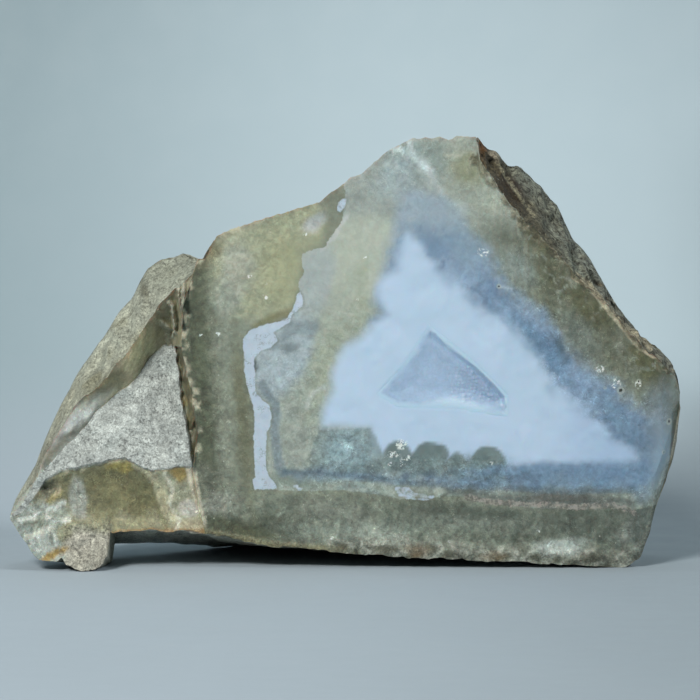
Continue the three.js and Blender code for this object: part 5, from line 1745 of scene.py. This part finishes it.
def druse_material():
    """Tiny quartz points: blue-white, their grey-blue tone partly painted shade of the hollow, with painted
    sparkles where they are coarse and a paler rim.
    """
    n = Nodes("tiny_quartz_points")
    coarse, lip = n.stored("coarse"), n.stored("lip")
    # grey-blue, darker where coarse: partly the points' own colour, partly painted shade of the hollow,
    # deepest on its right
    base = n.blend(coarse, pigment(155, 180, 205), pigment(146, 170, 196))
    base = n.shade(base, n.span(n.noise(1.6, 4, 0.6), 0.3, 0.7, 0.95, 1.05))
    base = n.shade(base, n.span(n.noise(0.45, 3, 0.7), 0.35, 0.65, 0.97, 1.03))
    # painted highlights: pale sparkles, most where the points are coarse
    sparkle = n.times(n.flecks(0.5, 0.2, 0.35), n.plus(0.1, n.times(coarse, 0.5)))
    base = n.blend(sparkle, base, pigment(198, 213, 226))
    ragged = n.times(n.plus(n.noise(1.1, 3, 0.6), -0.5), 0.8)
    base = n.blend(n.span(n.plus(lip, ragged), 0.9, -0.9), base, pigment(178, 203, 221))
    rough = n.span(n.noise(0.5, 2, 0.6), 0.35, 0.65, 0.35, 0.6)
    normal = n.bump(n.noise(0.35, 3, 0.7), n.plus(0.1, n.times(coarse, 0.3)), 0.1)
    return n.finish(
        Base_Color=base, Roughness=rough, Normal=normal, IOR=QUARTZ_IOR,
        Subsurface_Weight=0.4, Subsurface_Scale=CRUST_SOAK,
    )


def backdrop_material():
    """Pale paper, blue-grey on the floor and lighter on the wall, with painted light and shade: the floor
    darker to the right, at the far left and at the front, the wall graded across and up, and a painted shadow
    to the lower right.
    """
    n = Nodes("pale_studio_paper")
    spot = n.add("ShaderNodeSeparateXYZ")
    n.feed(spot.inputs[0], n.place)
    across, along_y, up = (spot.outputs[axis] for axis in "XYZ")
    # painted shade: the floor darkens to the right, where the stone's shadow falls
    floor = n.blend(n.span(across, -0.03, 0.08), pigment(158, 172, 181), pigment(135, 148, 155))
    # painted shadow on the floor at the far left, towards the back
    left_floor_shadow = n.times(n.span(across, -0.05, -0.1), n.span(along_y, -0.06, 0.02))
    floor = n.shade(floor, n.plus(1.0, n.times(left_floor_shadow, -0.13)))
    # painted shade: the floor darkens towards the front
    floor = n.shade(floor, n.span(along_y, -0.17, -0.05, 0.95, 1.0))
    # painted light: the wall is darker at the left and lighter to the right
    wall = n.blend(n.span(across, -0.09, 0.015), pigment(138, 157, 164), pigment(171, 190, 198))
    # painted shade at the wall's far right, then towards its top
    wall = n.shade(wall, n.span(across, 0.03, 0.09, 1.0, 0.9))
    wall = n.shade(wall, n.span(up, 0.07, 0.106, 1.0, 0.95))
    # painted shade low on the wall's right part
    wall = n.shade(wall, n.plus(1.0, n.times(n.span(across, 0.06, 0.08), n.span(up, 0.08, 0.05), -0.1)))
    # painted shadow of the stone, lowest on the wall at the right
    wall = n.shade(wall, n.plus(1.0, n.times(n.span(across, 0.054, 0.076), n.span(up, 0.024, 0.01), -0.5)))
    colour = n.blend(n.span(up, 0.0, 0.03), floor, wall)
    colour = n.shade(colour, n.span(n.noise(60, 2), 0.3, 0.7, 0.99, 1.01))
    rough = n.span(n.noise(8, 3), 0.3, 0.7, 0.7, 0.85)
    fibres = n.bump(n.noise(1.5, 3), 0.1, 0.05)
    return n.finish(one_sided=True, Base_Color=colour, Roughness=rough, Normal=fibres)


# ------------------------------------------------------------------ studio

# the paper's sweep, metres
SWEEP_RADIUS = 0.13
FLOOR_FRONT, FLOOR_BACK = -1.4, 0.03
WALL_TOP = 1.6
PAPER_HALF_WIDTH = 2.4
LAMP_AIM = 0.03  # how high the lamps look, metres
# the camera: its distance and the width that it sees there in metres, and what it looks at in millimetres
CAMERA_DISTANCE = 0.65
FIELD_WIDTH = 0.1167
CAMERA_DROP = math.radians(4)
AIM_X, AIM_HEIGHT = 0.83, 36.67
SENSOR_WIDTH = 36


def make_backdrop():
    """A floor that sweeps up behind the stone: a straight run, a quarter circle and a wall, carried
    sideways."""
    turn = np.linspace(0, np.pi / 2, 24)
    wall = FLOOR_BACK + SWEEP_RADIUS
    y = np.concatenate([[FLOOR_FRONT], FLOOR_BACK + SWEEP_RADIUS * np.sin(turn), [wall]])
    z = np.concatenate([[0], SWEEP_RADIUS - SWEEP_RADIUS * np.cos(turn), [WALL_TOP]])
    x = np.array([-PAPER_HALF_WIDTH, PAPER_HALF_WIDTH])
    grid = np.stack(np.broadcast_arrays(x[:, None], y[None, :], z[None, :]), axis=-1)
    i, j = cell_corners(1, len(y) - 1)
    paper = put_mesh("studio_paper", grid.reshape(-1, 3), (i * len(y) + j).reshape(-1, 4))
    paper.data.materials.append(backdrop_material())


def make_lamp(name, size, power, azimuth, elevation, distance, colour=(1, 1, 1)):
    """A square soft light that looks at the stone from an azimuth (0 in front, positive to the right)."""
    lamp = bpy.data.lights.new(name, "AREA")
    lamp.shape = "SQUARE"
    lamp.size = size
    lamp.energy = power
    lamp.color = colour
    holder = bpy.data.objects.new(name, lamp)
    turn, rise = math.radians(azimuth), math.radians(elevation)
    level = distance * math.cos(rise)
    height = LAMP_AIM + distance * math.sin(rise)
    holder.location = (level * math.sin(turn), -level * math.cos(turn), height)
    holder.rotation_euler = (math.pi / 2 - rise, 0, turn)
    bpy.context.scene.collection.objects.link(holder)


def make_world():
    """Faint even light from all sides."""
    world = bpy.data.worlds.new("studio_air")
    world.use_nodes = True
    background = world.node_tree.nodes["Background"]
    background.inputs["Color"].default_value = (0.9, 0.95, 1.0, 1.0)
    background.inputs["Strength"].default_value = 0.12
    bpy.context.scene.world = world


def make_camera():
    """Looks along +Y and slightly down at the middle of the flat face, through a long lens."""
    camera = bpy.data.cameras.new("camera")
    camera.sensor_width = SENSOR_WIDTH
    camera.lens = SENSOR_WIDTH * CAMERA_DISTANCE / FIELD_WIDTH
    camera.clip_end = 20
    holder = bpy.data.objects.new("camera", camera)
    back, up = CAMERA_DISTANCE * math.cos(CAMERA_DROP), CAMERA_DISTANCE * math.sin(CAMERA_DROP)
    holder.location = (AIM_X * MM, -HALF_DEPTH * MM - back, AIM_HEIGHT * MM + up)
    holder.rotation_euler = (math.pi / 2 - CAMERA_DROP, 0, 0)
    bpy.context.scene.collection.objects.link(holder)
    bpy.context.scene.camera = holder


# ------------------------------------------------------------------ put together

make_camera()
make_world()
make_backdrop()
make_lamp("key", 0.24, 9.8, -25, 36, 1.0, (1.0, 0.965, 0.925))
make_lamp("side", 0.25, 3.8, 76, 29, 1.0, (0.97, 0.985, 1.0))
make_lamp("above", 0.3, 1.4, 180, 81, 1.0)

stone = make_stone()
stone.data.materials.append(stone_material())
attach(stone, "root")
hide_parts("chalcedony_stone")

druse = make_druse()
druse.data.materials.append(druse_material())
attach(druse, "root")
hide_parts("hollow_druse")

bpy.context.scene.view_settings.view_transform = "Standard"
